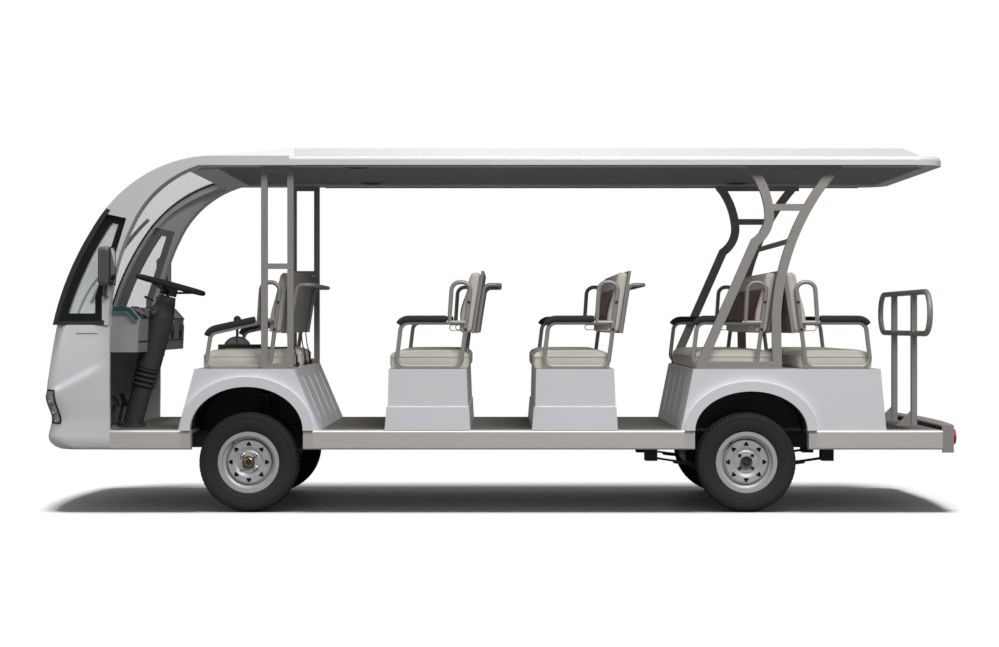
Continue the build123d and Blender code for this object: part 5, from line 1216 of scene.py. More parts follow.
class SealScreen(bpy.types.Operator):
    """Seal the windscreen, and fit its wiper"""

    bl_idname = "car.seal_screen"
    bl_label = "Seal the windscreen"

    def execute(self, context):
        glass = skin("windscreen")
        bm = bmesh.new()
        line = [(p, n) for p, n in zip(screen_outline(), outward(screen_outline())) if 1.725 < p[0] and p[1] > 1.05]
        for side in (1, -1):
            points, ups = [], []
            for (x, z), out in line:
                away = Vector((out.x, 0, out.y))
                hit, _ = glass(Vector((x, side * 0.583, z)) - away * 0.09, away)
                points.append(hit - away * 0.0025)
                ups.append(-away)
            add_section(bm, points, STRIP, 0.0125, 0.0028, up=ups)
        for x, z, away in ((1.9, 1.052, Vector((1, 0, 0))), (1.722, 1.80, Vector((0, 0, 1)))):
            points = []
            for i in range(25):
                y = -0.585 + 1.17 * i / 24
                hit, _ = glass(Vector((x, y, z)), away)
                points.append(hit - away * 0.0025)
            add_section(bm, points, STRIP, 0.014, 0.0028, up=-away)
        fit_piece("screen_seals", bm, "frame_black", "seal_rubber")
        self.fit_wiper(glass)
        return {"FINISHED"}

    def fit_wiper(self, glass):
        """Lays a double-armed wiper on the outside of the glass, parked towards the passenger."""

        def outside(y, z, gap):
            hit, normal = glass((3.0, y, z), (-1, 0, 0))
            return hit + normal * gap

        bm = bmesh.new()
        foot, head = (0.02, 1.085), (-0.335, 1.43)
        for shift in (-0.016, 0.016):
            arm = []
            for i in range(9):
                t = i / 8
                y, z = foot[0] + (head[0] - foot[0]) * t + shift * (1 - 0.5 * t), foot[1] + (head[1] - foot[1]) * t
                arm.append(outside(y, z, 0.012 + 0.016 * math.sin(math.pi * min(1, t * 1.1))))
            add_tube(bm, arm, 0.0042, 8)
            add_turned(bm, ((-0.014, 0.010), (0.004, 0.010), (0.008, 0.007), (0.009, 0)), arm[0], (1, 0, 0.4), 16)
        blade, rubber = [], []
        for i in range(21):
            t = i / 20
            y, z = -0.205 - 0.28 * t, 1.17 + 0.52 * t
            blade.append(outside(y, z, 0.0130 + 0.004 * math.sin(math.pi * t)))
            rubber.append(outside(y, z, 0.0045))
        add_section(bm, blade, STRIP, 0.006, 0.004, up=Vector((1, 0, 0.4)))
        add_section(bm, rubber, STRIP, 0.0025, 0.0070, up=Vector((1, 0, 0.4)))
        fit_piece("screen_wiper", bm, "frame_black")


NOSE_GATE_X = 2.141
# Rows up the nose: height, front at the corners, flank distance from the middle
NOSE_PROFILE = (
    (0.352, 2.440, 0.690), (0.365, 2.470, 0.702), (0.388, 2.496, 0.709), (0.415, 2.506, 0.712),
    (0.445, 2.502, 0.712), (0.480, 2.492, 0.7125), (0.515, 2.486, 0.713), (0.545, 2.489, 0.7145),
    (0.580, 2.500, 0.7165), (0.620, 2.510, 0.719), (0.667, 2.515, 0.720), (0.720, 2.511, 0.7205),
    (0.780, 2.502, 0.7205), (0.836, 2.494, 0.720), (0.905, 2.483, 0.719), (0.975, 2.471, 0.7175),
    (1.041, 2.458, 0.716),
)
FLANK_STEPS, CORNER_STEPS, BOW_STEPS = 18, 16, 36


def nose_plan(front, flank, inset=0.0):
    """Points (x, y) round the nose at one height, from the left gate edge to the right one."""
    front, flank = front - inset, flank - inset
    turn = front - 0.130
    left = [(NOSE_GATE_X + (turn - NOSE_GATE_X) * i / FLANK_STEPS, flank) for i in range(FLANK_STEPS)]
    left += arc_run((turn, flank), (front - 0.039, flank - 0.038), (front, 0.600), CORNER_STEPS)[:-1]
    bow = arc_run((front, 0.600), (front + 0.055, 0.0), (front, -0.600), BOW_STEPS)
    return left + bow + [(x, -y) for x, y in reversed(left)]


def swage_rise(x, z):
    """How far the flank stands out below the crease that falls from the gate to the lamp."""
    crease = 0.862 - 0.58 * (x - NOSE_GATE_X) + 0.13 * (x - NOSE_GATE_X) ** 2
    below = max(0.0, min(1.0, (crease - z) / 0.028))
    fade = max(0.0, min(1.0, 1.0 - (crease - z - 0.05) / 0.24))
    start = max(0.0, min(1.0, (x - NOSE_GATE_X) / 0.10))
    return 0.009 * below * below * (3 - 2 * below) * fade * fade * start


class TrimNose(bpy.types.Operator):
    """Mould the nose with its crease and lamp pockets, and build the headlamps"""

    bl_idname = "car.trim_nose"
    bl_label = "Mould the nose"

    def execute(self, context):
        rows = [tuple(p) for p in smooth_run(NOSE_PROFILE, 4)]
        lamp_rows = [r for r, row in enumerate(rows) if 0.497 < row[0] < 0.684]
        left_lamp = range(FLANK_STEPS + 5, FLANK_STEPS + 12)
        columns = len(nose_plan(rows[0][1], rows[0][2]))
        lamp_columns = (list(left_lamp), [columns - 1 - i for i in left_lamp])
        outside = [self.outer_row(row) for row in rows]
        self.mould_shell(rows, outside, lamp_rows, lamp_columns)
        self.build_lamps(outside, lamp_rows, lamp_columns)
        dark = bmesh.new()
        for side in (1, -1):
            add_tube(dark, [(2.205 + 0.120 * i / 8, side * 0.7175, 0.994) for i in range(9)], 0.0016, 6)
        fit_piece("nose_lines", dark, "frame_black", "seal_rubber")
        return {"FINISHED"}

    def outer_row(self, row):
        """Points and outward directions of the nose's skin at one height."""
        height, front, flank = row
        plan = [Vector(p) for p in nose_plan(front, flank)]
        found = []
        for i, here in enumerate(plan):
            ahead = plan[min(i + 1, len(plan) - 1)] - plan[max(i - 1, 0)]
            out = Vector((-ahead.y, ahead.x)).normalized()
            if out.dot(here - Vector((2.2, 0))) < 0:
                out.negate()
            moved = here + out * swage_rise(here.x, height)
            found.append((Vector((moved.x, moved.y, height)), Vector((out.x, out.y, 0))))
        return found

    def mould_shell(self, rows, outside, lamp_rows, lamp_columns):
        """A thin shell with a pocket at each lamp, and the floor plate across it."""
        bm = bmesh.new()
        pockets = [set(columns[1:-1]) for columns in lamp_columns]
        outer, inner = [], []
        for r, row in enumerate(rows):
            deep = r in lamp_rows[1:-1]
            outer.append([
                bm.verts.new(point - out * (0.016 if deep and any(i in pocket for pocket in pockets) else 0.0))
                for i, (point, out) in enumerate(outside[r])
            ])
            inner.append([bm.verts.new((x, y, row[0])) for x, y in nose_plan(row[1], row[2], 0.028)])
        span = range(len(outer[0]) - 1)
        for r in range(len(rows) - 1):
            for i in span:
                face = bm.faces.new((outer[r][i], outer[r][i + 1], outer[r + 1][i + 1], outer[r + 1][i]))
                in_lamp = lamp_rows[0] <= r < lamp_rows[-1] and any(min(c) <= i < max(c) for c in lamp_columns)
                face.material_index = 1 if in_lamp else 0
                bm.faces.new((inner[r][i], inner[r + 1][i], inner[r + 1][i + 1], inner[r][i + 1])).material_index = 2
            for i in (0, len(outer[0]) - 1):
                bm.faces.new((outer[r][i], outer[r + 1][i], inner[r + 1][i], inner[r][i]))
        for r in (0, len(rows) - 1):
            for i in span:
                bm.faces.new((outer[r][i], outer[r][i + 1], inner[r][i + 1], inner[r][i]))
        level = min(rows, key=lambda row: abs(row[0] - 0.449))
        plate = [bm.verts.new((x, y, z)) for z in (0.440, 0.458) for x, y in nose_plan(level[1], level[2], 0.020)]
        half = len(plate) // 2
        bm.faces.new(plate[:half]).material_index = 2
        bm.faces.new(plate[half:]).material_index = 2
        for i in range(half):
            j = (i + 1) % half
            bm.faces.new((plate[i], plate[j], plate[half + j], plate[half + i])).material_index = 2
        paints = (bpy.data.materials[name] for name in ("body_white", "column_black", "cab_grey"))
        piece = add_piece("nose_skin", finished_mesh(bm, "nose_skin", 40), "chassis", "body_white", *paints)
        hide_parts("nose_shell")

    def build_lamps(self, outside, lamp_rows, lamp_columns):
        """A clear lens over three reflector bowls in each pocket, inside a rubber rim."""
        lens, bowls, bulbs, rim = (bmesh.new() for _ in range(4))
        for columns in lamp_columns:
            columns = sorted(columns)
            grid = []
            for a, r in enumerate(lamp_rows):
                bulge = math.sin(math.pi * a / (len(lamp_rows) - 1))
                grid.append([
                    lens.verts.new(outside[r][i][0] + outside[r][i][1] * (0.0015 + 0.004 * bulge)) for i in columns
                ])
            bridge(lens, grid, closed_ring=False)
            ring = [outside[lamp_rows[0]][i] for i in columns]
            ring += [outside[r][columns[-1]] for r in lamp_rows[1:]]
            ring += [outside[lamp_rows[-1]][i] for i in reversed(columns[:-1])]
            ring += [outside[r][columns[0]] for r in reversed(lamp_rows[1:-1])]
            add_tube(rim, [point + out * 0.0015 for point, out in ring], 0.0042, 8, True)
            middle = columns[len(columns) // 2]
            for share in (0.2, 0.5, 0.8):
                point, out = outside[lamp_rows[int(share * (len(lamp_rows) - 1))]][middle]
                seat = point - out * 0.0165
                bowl = ((0.0, 0.007), (0.003, 0.012), (0.008, 0.017), (0.013, 0.0205), (0.013, 0.0225), (0.0, 0.0225))
                add_turned(bowls, bowl, seat, out, 28)
                add_turned(bulbs, ((0.0, 0.0070), (0.004, 0.0066), (0.0075, 0.0040), (0.0085, 0)), seat, out, 16)
        cover = fit_piece("headlamp_lens", lens, "lamp_lens", "clear_glass", sharp_angle=60)
        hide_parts("headlamps")
        fit_piece("headlamp_bowls", bowls, "lamp_lens", "bright_steel", sharp_angle=60)
        fit_piece("headlamp_bulbs", bulbs, "lamp_lens", "lamp_white", sharp_angle=60)
        fit_piece("headlamp_rims", rim, "frame_black", "seal_rubber", sharp_angle=60)


# The steering column stands on the floor here, before the driver's seat
COLUMN_FOOT_X, COLUMN_Y = 2.1, 0.33


class TrimDash(bpy.types.Operator):
    """Fit the instrument glass, switches, column trim and pedal pads"""

    bl_idname = "car.trim_dash"
    bl_label = "Trim the dash"

    def execute(self, context):
        self.fit_instruments()
        self.fit_column()
        self.fit_horn()
        self.fit_controls()
        return {"FINISHED"}

    def fit_instruments(self):
        """A tinted glass cover over the slope of the dash, its frame, and a row of switches below."""
        foot, head = Vector((1.986, 0, 1.0785)), Vector((2.040, 0, 1.1415))
        slope = (head - foot).normalized()
        out = Vector((-slope.z, 0, slope.x))
        cover, trim, keys, white = bmesh.new(), bmesh.new(), bmesh.new(), bmesh.new()
        for low_y, high_y in ((-0.62, 0.225), (0.435, 0.62)):
            rings = []
            for i in range(17):
                y = low_y + (high_y - low_y) * i / 16
                full = math.sqrt(max(0.0, 1 - abs(2 * i / 16 - 1) ** 6)) * 0.98 + 0.02
                ring = []
                brow = 0.004 * full
                for t, rise in ((0.02, 0.0003), (0.10, brow), (0.5, 0.0085 * full), (0.90, brow), (0.98, 0.0003)):
                    ring.append(cover.verts.new(foot + (head - foot) * t + out * rise + Vector((0, y, 0))))
                rings.append(ring)
            bridge(cover, rings, closed_ring=False)
            for t in (0.0, 1.0):
                start = foot + (head - foot) * t + out * 0.0008
                edge = [start + Vector((0, low_y + (high_y - low_y) * i / 8, 0)) for i in range(9)]
                add_tube(trim, edge, 0.0032, 8)
        for i in range(6):
            y = 0.15 - 0.045 * i
            add_block(keys, (1.9835, y - 0.016, 1.010), (1.9905, y + 0.016, 1.044), 0.003)
            add_turned(white, ((0, 0.0028), (0.0012, 0.0026), (0.0016, 0)), (1.9835, y, 1.036), (-1, 0, 0), 12)
        for y in (-0.30, -0.56):
            vent = ((-0.004, 0.046), (0.004, 0.046), (0.0065, 0.042), (0.004, 0.038), (0.002, 0.036), (0.002, 0))
            add_turned(keys, vent, (1.989, y, 1.000), (-1, 0, 0), 40)
            for blade in (-0.024, -0.012, 0, 0.012, 0.024):
                add_block(keys, (1.9835, y - 0.034, 0.9985 + blade), (1.9895, y + 0.034, 1.0015 + blade), 0.001)
        for low_y, high_y in ((-0.68, 0.234), (0.426, 0.68)):
            add_block(trim, (1.9845, low_y, 0.9475), (1.9925, high_y, 0.9515), 0.0015)
        edge = ((2.130, 1.141), (2.039, 1.141), (1.983, 1.0765), (1.999, 1.062), (2.048, 1.116), (2.130, 1.116))
        for side in (1, -1):
            add_prism(cover, edge, side * 0.6870, side * 0.6905)
        fit_piece("dash_cover", cover, "clear_glass", "teal_glass", sharp_angle=60)
        fit_piece("dash_trim", trim, "dash_grey", "seal_rubber")
        fit_piece("dash_switches", keys, "column_black")
        fit_piece("dash_marks", white, "lamp_lens", "lamp_white")

    def fit_column(self):
        """The clamp knob, the signal stalk, and the screws on the column's shroud and round its foot."""
        column = skin("steering_column")
        bm, bright = bmesh.new(), bmesh.new()
        for side in (1, -1):
            hit, _ = column((1.955, COLUMN_Y + side * 0.4, 1.115), (0, -side, 0))
            knob = ((-0.006, 0.036), (0.006, 0.036), (0.010, 0.033), (0.011, 0.024), (0.016, 0.022), (0.022, 0.018),
                    (0.023, 0))
            add_turned(bm, knob, hit, (0, side, 0), 36)
            add_turned(bright, ((0.0225, 0.007), (0.0245, 0.0062), (0.025, 0)), hit, (0, side, 0), 18)
            bends = ((1.965, 0.05, 1.178), (1.975, 0.10, 1.188), (1.990, 0.165, 1.200))
            stalk = [(x, COLUMN_Y + side * y, z) for x, y, z in bends]
            add_section(bm, smooth_run(stalk, 5), circle(10), 0.0052, 0.0052,
                        sizes=[0.8] * 6 + [1.0, 1.2, 1.5, 1.5, 1.2])
        for z in (0.870, 1.060):
            hit, normal = column((1.2, COLUMN_Y, z), (1, 0, 0))
            add_bolt(bright, hit, normal, 0.0040)
        for x, y in circle(6):
            add_bolt(bright, (COLUMN_FOOT_X + 0.066 * x, COLUMN_Y + 0.066 * y, 0.478), (0, 0, 1), 0.0050)
        fit_piece("column_trim", bm, "column_black")
        fit_piece("column_screws", bright, "column_black", "bright_steel")

    def fit_horn(self):
        """A domed horn pad on the steering wheel's hub, with grip ridges round the rim."""
        centre = Vector((1.877, COLUMN_Y, 1.271))
        axis = (centre - Vector((COLUMN_FOOT_X, COLUMN_Y, 0.458))).normalized()
        bm = bmesh.new()
        pad = ((-0.004, 0.043), (0.003, 0.043), (0.008, 0.038), (0.011, 0.026), (0.0120, 0.012), (0.0122, 0))
        add_turned(bm, pad, centre - axis * 0.018, axis, 40)
        across, up = basis(axis)
        rim_radius, grip_radius = 0.190, 0.0146
        for turn in turns(40):
            spoke = across * math.cos(turn) + up * math.sin(turn)
            ring = [
                centre + spoke * (rim_radius - grip_radius * math.cos(a)) + axis * (grip_radius * math.sin(a))
                for a in np.linspace(-0.9, 0.9, 7)
            ]
            add_section(bm, ring, STRIP, 0.0022, 0.0012, up=-spoke)
        fit_piece("steering_trim", bm, "grip_black", body="steering_wheel")

    def fit_controls(self):
        """Ribbed rubbers on the pedals, the chrome brake sector and its knob cap."""
        rubber, bright = bmesh.new(), bmesh.new()
        out = Vector((-1, 0, 0.5)).normalized()
        along = Vector((0.5, 0, 1)).normalized()
        for y in (0.44, 0.22):
            seat = Vector((2.170, y, 0.608)) + out * 0.0070
            for i in range(7):
                rib = seat + along * (-0.030 + 0.010 * i)
                across = [rib + Vector((0, d, 0)) for d in (-0.036, 0, 0.036)]
                add_section(rubber, across, STRIP, 0.0032, 0.0030, up=out)
        brake_x, brake_z = 1.545, 0.885
        leans = np.linspace(-1.02, 1.02, 22)
        arc = [(brake_x + 0.0865 * math.sin(a), 0, brake_z + 0.0865 * math.cos(a)) for a in leans]
        ups = [Vector((x - brake_x, 0, z - brake_z)) for x, _, z in arc]
        add_section(bright, arc, STRIP, 0.0095, 0.0022, up=ups)
        add_turned(bright, ((0, 0.0125), (0.010, 0.0115), (0.020, 0.0095)), (brake_x, 0, 1.030), (0, 0, 1), 24)
        leans = np.linspace(-1.04, 1.04, 18)
        plate = [(brake_x + 0.080 * math.sin(a), brake_z + 0.080 * math.cos(a)) for a in leans]
        for low_y, high_y in ((0.0055, 0.0072), (-0.0072, -0.0055)):
            add_prism(bright, plate, low_y, high_y)
        for x in (1.265, 1.385):
            for y in (0.040, -0.040):
                add_bolt(bright, (x, y, 0.908), (0, 0, 1), 0.0040)
        fit_piece("pedal_rubbers", rubber, "pad_black", "seal_rubber")
        fit_piece("brake_sector", bright, "column_black", "bright_steel")


class FitMirrors(bpy.types.Operator):
    """Set the glass and rims of the side mirrors"""

    bl_idname = "car.fit_mirrors"
    bl_label = "Fit the mirrors"

    def execute(self, context):
        glass, rim = bmesh.new(), bmesh.new()
        middle_z, corner = 1.362, 0.012
        for side in (1, -1):
            middle_y = side * 0.800
            rings = []
            for i in range(9):
                ring = []
                for j in range(13):
                    u, v = 2 * i / 8 - 1, 2 * j / 12 - 1
                    bulge = 0.004 * (1 - 0.5 * u * u - 0.5 * v * v)
                    ring.append(glass.verts.new((2.1043 - bulge, middle_y + 0.058 * u, middle_z + 0.098 * v)))
                rings.append(ring)
            bridge(glass, rings, closed_ring=False)
            corners = []
            for y_sign, z_sign, start in ((1, 1, 0), (-1, 1, 90), (-1, -1, 180), (1, -1, 270)):
                for k in range(5):
                    a = math.radians(start + 22.5 * k)
                    y = middle_y + y_sign * 0.048 + corner * math.cos(a)
                    corners.append((2.1045, y, middle_z + z_sign * 0.088 + corner * math.sin(a)))
            add_tube(rim, corners, 0.0042, 8, True)
            for seat in ((2.158, side * 0.7065, 1.175), (2.158, side * 0.7065, 1.207)):
                add_bolt(rim, seat, (0, side, 0), 0.0045)
        fit_piece("mirror_faces", glass, "clear_glass", "mirror_glass", sharp_angle=60)
        fit_piece("mirror_rims", rim, "frame_black")
        return {"FINISHED"}


class TrimSeats(bpy.types.Operator):
    """Bolt the arm tubes, and add belt loops and belts"""

    bl_idname = "car.trim_seats"
    bl_label = "Trim the seats"

    def execute(self, context):
        bolts, loops, straps, buckles = (bmesh.new() for _ in range(4))
        for _, spans, foot_x, facing, half, _ in BENCHES:
            for side in (1, -1):
                outer_y = side * (half + 0.0235)
                for x, z in ((0.006, 1.167), (0.0256, 1.016)):
                    add_bolt(bolts, (foot_x + facing * x, outer_y, z), (0, side, 0), 0.0046)
                oval = []
                for turn in turns(24):
                    x = 0.076 + 0.022 * (1 if math.cos(turn) > 0 else -1) + 0.016 * math.cos(turn)
                    oval.append((foot_x + facing * x, side * (half - 0.016), 1.025 + 0.016 * math.sin(turn)))
                add_tube(loops, oval, 0.0026, 8, True)
            if len(spans) == 2:
                for y in (-0.46, -0.22, 0.22, 0.46):
                    self.add_belt(straps, buckles, foot_x, y)
        fit_piece("arm_bolts", bolts, "pad_black")
        fit_piece("belt_loops", loops, "frame_grey")
        fit_piece("belt_straps", straps, "pad_black", "belt_webbing")
        fit_piece("belt_anchors", buckles, "pad_black")
        return {"FINISHED"}

    def add_belt(self, straps, buckles, foot_x, y):
        """A lap belt that comes down behind the backrest to its anchor on the seat box."""
        bends = ((0.022, 1.004), (0.030, 0.93), (0.046, 0.86), (0.052, 0.806))
        run = smooth_run([(foot_x - back, y, z) for back, z in bends], 5)
        add_section(straps, run, STRIP, 0.022, 0.0013, up=Vector((1, 0, 0.15)))
        add_block(buckles, (foot_x - 0.060, y - 0.020, 0.798), (foot_x - 0.042, y + 0.020, 0.826), 0.004)
        add_bolt(buckles, (foot_x - 0.060, y, 0.812), (-1, 0, 0), 0.0052)


class TrimBoxes(bpy.types.Operator):
    """Press the ribs into the wheel boxes, and skirt the seat pedestals"""

    bl_idname = "car.trim_boxes"
    bl_label = "Trim the seat boxes"

    def execute(self, context):
        bm = bmesh.new()
        outline = circle(12)
        for box_name, from_x, ahead in (("front_wheel_box", 0.6, 1), ("rear_wheel_box", -0.6, -1)):
            face = skin(box_name)
            for y in (-0.45, -0.15, 0.15, 0.45):
                points, ups, sizes = [], [], []
                for i in range(13):
                    z = 0.480 + 0.300 * i / 12
                    hit, normal = face((from_x, y, z), (ahead, 0, 0))
                    points.append(hit - normal * 0.002)
                    ups.append(normal)
                    sizes.append(max(0.25, min(1.0, i / 2, (12 - i) / 2)))
                add_section(bm, points, outline, 0.008, 0.006, up=ups, sizes=sizes)
        fit_piece("box_ribs", bm, "body_white", sharp_angle=60)
        self.skirt_pedestals()
        return {"FINISHED"}

    def skirt_pedestals(self):
        """Proud panels over the foot of each seat pedestal's sides."""
        bm = bmesh.new()
        foot_z, top_z = 0.459, 0.589
        for name in ("seat_pedestal_row2", "seat_pedestal_row3"):
            face = skin(name)
            low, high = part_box(name)
            middle_x = (low[0] + high[0]) / 2
            for side in (1, -1):
                outline = []
                for z in (foot_z, top_z):
                    wall_y = face((middle_x, side * 1.2, z), (0, -side, 0))[0].y
                    inside = wall_y - side * 0.004
                    rear = face((low[0] - 0.2, inside, z), (1, 0, 0))[0].x
                    front = face((high[0] + 0.2, inside, z), (-1, 0, 0))[0].x
                    ends = [(rear, wall_y, z), (front, wall_y, z)]
                    outline += ends if z == foot_z else reversed(ends)
                rings = [
                    [bm.verts.new((x, y + side * out, z)) for x, y, z in outline] for out in (-0.002, 0.0045, 0.0055)
                ]
                for vert in rings[2]:
                    middle = Vector((middle_x, vert.co.y, (foot_z + top_z) / 2))
                    vert.co = middle + (vert.co - middle) * 0.985
                bridge(bm, rings)
                bm.faces.new(rings[0])
                bm.faces.new(rings[2])
        fit_piece("pedestal_skirts", bm, "body_white")


# Places (x, z) of the screws in the sides of the roof frames
FRAME_SCREWS = {
    "rear_roof_frame": (
        (-1.635, 1.561), (-1.614, 1.508), (-1.475, 1.815), (-1.87, 1.895), (-1.44, 1.895), (-1.175, 0.825),
        (-1.51, 0.825),
    ),
    "front_roof_frame": tuple((x, z) for z in (0.812, 1.351, 1.898) for x in (1.290, 1.145)),
}


class TrimRoof(bpy.types.Operator):
    """Fit the ceiling speakers, the drip strips and the frame's screws"""

    bl_idname = "car.trim_roof"
    bl_label = "Trim the roof"

    def execute(self, context):
        rings, cones, strips, screws = (bmesh.new() for _ in range(4))
        ceiling = skin("roof_lining")
        down = Vector((0, 0, -1))
        for x in (0.79, -1.50):
            for y in (-0.55, 0.55):
                hit, _ = ceiling(Vector((x, y, 1.5)), -down)
                bezel = ((-0.001, 0.086), (0.004, 0.086), (0.008, 0.081), (0.006, 0.073), (0.002, 0.071))
                add_turned(rings, bezel, hit, down, 48)
                cone = [(0.0035, 0.072)]
                for i in range(8):
                    cone += [(0.0065 + 0.0004 * i, 0.066 - 0.008 * i), (0.0045 + 0.0004 * i, 0.062 - 0.008 * i)]
                add_turned(cones, [*cone, (0.0105, 0)], hit, down, 48)
                for turn in turns(4):
                    seat = hit + Vector((math.cos(turn + 0.8), math.sin(turn + 0.8), 0)) * 0.0785 + down * 0.0072
                    add_turned(screws, ((-0.001, 0.004), (0.0012, 0.0036), (0.0016, 0)), seat, down, 10)
        for side in (1, -1):
            edge = [(1.10 - 3.40 * i / 20, side * 0.781, 1.9165) for i in range(21)]
            add_section(strips, edge, STRIP, 0.0060, 0.0035, up=down)
            for frame_name, seats in FRAME_SCREWS.items():
                frame_skin = skin(frame_name)
                for x, z in seats:
                    seat, normal = frame_skin((x, side * 1.2, z), (0, -side, 0))
                    add_bolt(screws, seat, normal, 0.0036)
        fit_piece("speaker_rings", rings, "lining_grey", "dash_grey")
        fit_piece("speaker_grilles", cones, "frame_black", sharp_angle=60)
        fit_piece("roof_drip_strips", strips, "frame_black", "seal_rubber")
        fit_piece("frame_screws", screws, "frame_grey")
        return {"FINISHED"}


class TrimUnderbody(bpy.types.Operator):
    """Wind the coil springs and strap the leaf springs to the axle"""

    bl_idname = "car.trim_underbody"
    bl_label = "Trim the underbody"

    def execute(self, context):
        coils, straps = bmesh.new(), bmesh.new()
        low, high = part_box("front_dampers")
        centre_x, centre_y = (low[0] + high[0]) / 2, high[1] - 0.035
        for side in (1, -1):
            helix = []
            for i in range(7 * 18 + 1):
                turn = 2 * math.pi * i / 18
                z = 0.300 + (0.606 - 0.300) * i / (7 * 18)
                helix.append((centre_x + 0.0335 * math.cos(turn), side * centre_y + 0.0335 * math.sin(turn), z))
            add_tube(coils, helix, 0.0050, 8)
        _, spring_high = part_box("leaf_springs")
        for side in (1, -1):
            y = side * (spring_high[1] - 0.028)
            for x in (-1.440, -1.330):
                clamp = [(x, y - 0.036, 0.205), (x, y - 0.036, 0.300), (x, y - 0.026, 0.326), (x, y, 0.334),
                         (x, y + 0.026, 0.326), (x, y + 0.036, 0.300), (x, y + 0.036, 0.205)]
                add_tube(straps, smooth_run(clamp, 3), 0.0060, 8)
                for d in (-0.036, 0.036):
                    add_bolt(straps, (x, y + d, 0.214), (0, 0, -1), 0.0085)
        fit_piece("coil_springs", coils, "underbody_black", "spring_steel")
        fit_piece("spring_clamps", straps, "underbody_black", "spring_steel")
        return {"FINISHED"}


class TrimRear(bpy.types.Operator):
    """Ring the tail lamps and edge the rear step"""

    bl_idname = "car.trim_rear"
    bl_label = "Trim the rear"

    def execute(self, context):
        rings, strips = bmesh.new(), bmesh.new()
        lamp_low, lamp_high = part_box("tail_lamps")
        lamp, bumper = skin("tail_lamps"), skin("rear_bumper")
        for side in (1, -1):
            y = side * (lamp_high[1] - 0.036)
            z = (lamp_low[2] + lamp_high[2]) / 2
            hit, _ = lamp((-3.0, y, z), (1, 0, 0))
            for radius in (0.012, 0.020, 0.028):
                rib = ((-0.002, 0.0022), (0.0012, 0.0012), (0.0012, -0.0012), (-0.002, -0.0022))
                add_turned(rings, [(along, radius + wide) for along, wide in rib], hit, (-1, 0, 0), 36)
        edge = []
        for i in range(33):
            y = -0.48 + 0.96 * i / 32
            hit, _ = bumper((-3.0, y, 0.411), (1, 0, 0))
            edge.append(hit + Vector((-0.001, 0, 0)))
        add_section(strips, edge, STRIP, 0.016, 0.0035, up=Vector((-1, 0, 0)))
        for i in range(4):
            x = -2.205 - 0.030 * i
            tread = [(x, y, 0.4585) for y in np.linspace(-0.60, 0.60, 9)]
            add_section(strips, tread, STRIP, 0.005, 0.0022, up=Vector((0, 0, 1)))
        fit_piece("tail_lamp_rings", rings, "lamp_red")
        fit_piece("rear_strips", strips, "frame_black", "seal_rubber")
        return {"FINISHED"}


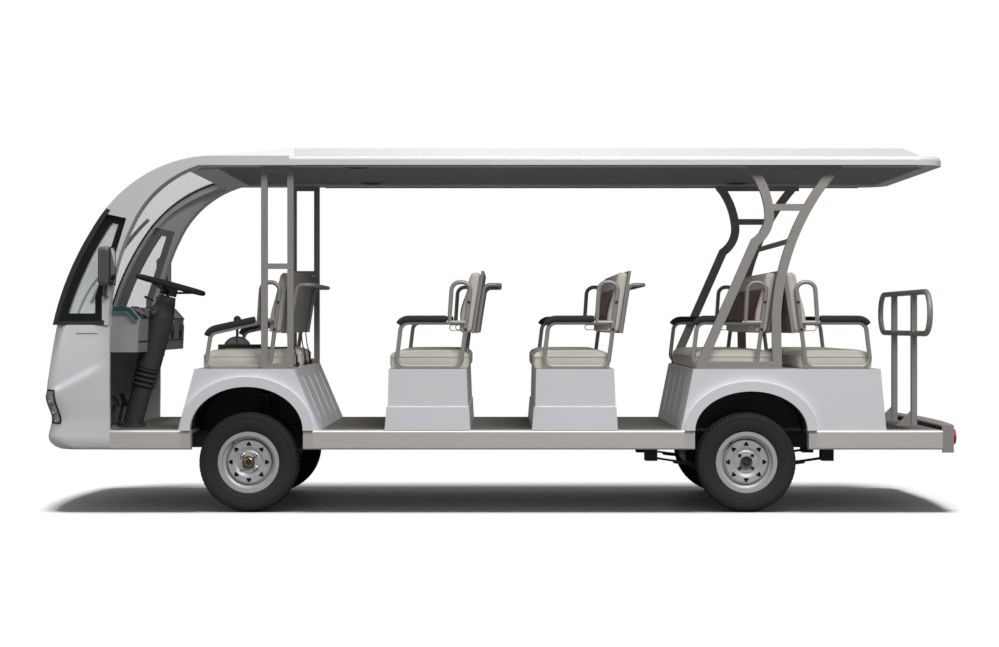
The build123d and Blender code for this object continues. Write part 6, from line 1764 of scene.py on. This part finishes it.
class SetStage(bpy.types.Operator):
    """Lay the pale floor, the studio light and the camera"""

    bl_idname = "car.set_stage"
    bl_label = "Set the stage"

    def execute(self, context):
        stage = context.scene.car_stage
        bm = bmesh.new()
        bmesh.ops.create_grid(bm, x_segments=1, y_segments=1, size=60)
        floor = bpy.data.objects.new("studio_floor", finished_mesh(bm, "studio_floor"))
        context.scene.collection.objects.link(floor)
        paper = Finish("studio_paper").base((1.60, 1.60, 1.60), 0.40, 0.01, 0.4)
        seen = paper.tree.nodes.new("ShaderNodeLightPath").outputs["Is Camera Ray"]
        paper.colour = mix_colour(paper.tree, seen, (0.30, 0.30, 0.31, 1.0), paper.colour)
        drawn_in = node(paper.tree, "VectorMath", {"operation": "MULTIPLY"}, i0=paper.place, i1=(0.55, 1.0, 1.0))
        away = node(paper.tree, "VectorMath", {"operation": "LENGTH"}, i0=drawn_in.outputs["Vector"]).outputs["Value"]
        paper.link(ramp(paper.tree, away, 1.6, 3.2, 1.0, 0.0), "Alpha")
        floor.data.materials.append(paper.grain(60, 0.00002).set(Specular_IOR_Level=0.04).done())
        key = self.add_light("camera_softbox", stage.key, (-2.6, 7.4, 7.0), (0, 0, 0.7), 5.0, 3.0)
        off_floor = bpy.data.collections.new("off_floor")
        off_floor.objects.link(floor)
        off_floor.collection_objects[0].light_linking.link_state = "EXCLUDE"
        front = self.add_light("nose_softbox", stage.nose, (7.5, 3.0, 3.4), (1.5, 0, 1.0), 3.0, 3.0)
        for light in (key, front):
            light.light_linking.receiver_collection = off_floor
        self.hang_skylight(stage.top)
        self.light_world(context, stage.sky)
        lens = bpy.data.cameras.new("side_camera")
        lens.sensor_width = 36
        lens.lens = stage.focal_length * 1000
        camera = bpy.data.objects.new("side_camera", lens)
        context.scene.collection.objects.link(camera)
        camera.location = (-0.011, stage.distance, stage.height)
        camera.rotation_euler = (math.pi / 2, 0, math.pi)
        context.scene.camera = camera
        context.scene.view_settings.view_transform = "Standard"
        return {"FINISHED"}

    def add_light(self, name, power, place, target, width, height):
        """Hangs a soft box that points at a target."""
        lamp = bpy.data.lights.new(name, "AREA")
        lamp.shape, lamp.size, lamp.size_y, lamp.energy = "RECTANGLE", width, height, power
        box = bpy.data.objects.new(name, lamp)
        bpy.context.scene.collection.objects.link(box)
        box.location = place
        box.rotation_euler = (Vector(target) - Vector(place)).to_track_quat("-Z", "Y").to_euler()
        return box

    def hang_skylight(self, strength):
        """Adds a soft overhead light that falls evenly on the roof and the floor."""
        lamp = bpy.data.lights.new("skylight", "SUN")
        lamp.energy, lamp.angle = strength, math.radians(14)
        skylight = bpy.data.objects.new("skylight", lamp)
        bpy.context.scene.collection.objects.link(skylight)
        skylight.rotation_euler = (math.radians(-7), 0, 0)

    def light_world(self, context, strength):
        """Fills the studio with even light, and shows it white."""
        world = bpy.data.worlds.new("studio")
        world.use_nodes = True
        tree = world.node_tree
        even = tree.nodes["Background"]
        even.inputs["Color"].default_value = (1.0, 1.0, 1.0, 1.0)
        even.inputs["Strength"].default_value = strength
        shown = tree.nodes.new("ShaderNodeBackground")
        shown.inputs["Color"].default_value = (1.0, 1.0, 1.0, 1.0)
        rays = tree.nodes.new("ShaderNodeLightPath")
        choice = tree.nodes.new("ShaderNodeMixShader")
        tree.links.new(rays.outputs["Is Camera Ray"], choice.inputs[0])
        tree.links.new(even.outputs[0], choice.inputs[1])
        tree.links.new(shown.outputs[0], choice.inputs[2])
        tree.links.new(choice.outputs[0], tree.nodes["World Output"].inputs["Surface"])
        context.scene.world = world


GROUPED_SETTINGS = (
    ("car_paints", CarPaints), ("car_seats", CarSeats), ("car_tyres", CarTyres), ("car_stage", CarStage),
)
STEPS = (
    DressFrame, SewCushions, SewBackrests, FitArmrests, MouldTyres, FitWheelTrim, SealScreen, TrimNose, TrimDash,
    FitMirrors, TrimSeats, TrimBoxes, TrimRoof, TrimUnderbody, TrimRear, SetStage,
)


class CarPanel(bpy.types.Panel):
    """Lists the settings and the steps that build the looks."""

    bl_idname = "VIEW3D_PT_sightseeing_car"
    bl_label = "Sightseeing Car"
    bl_space_type = "VIEW_3D"
    bl_region_type = "UI"
    bl_category = "Sightseeing Car"

    def draw(self, context):
        for name, settings in GROUPED_SETTINGS:
            box = self.layout.box()
            for key in settings.__annotations__:
                box.prop(getattr(context.scene, name), key)
        for step in STEPS:
            self.layout.operator(step.bl_idname)


def register():
    """Registers the settings, the steps and the panel."""
    for name, settings in GROUPED_SETTINGS:
        bpy.utils.register_class(settings)
        setattr(bpy.types.Scene, name, PointerProperty(type=settings))
    for step in (*STEPS, CarPanel):
        bpy.utils.register_class(step)


def unregister():
    """Removes what register added."""
    for step in reversed((*STEPS, CarPanel)):
        bpy.utils.unregister_class(step)
    for name, settings in reversed(GROUPED_SETTINGS):
        delattr(bpy.types.Scene, name)
        bpy.utils.unregister_class(settings)


def main():
    """Builds the looks step by step."""
    register()
    for step in STEPS:
        group, operator = step.bl_idname.split(".")
        getattr(getattr(bpy.ops, group), operator)()


if __name__ == "__main__":
    main()
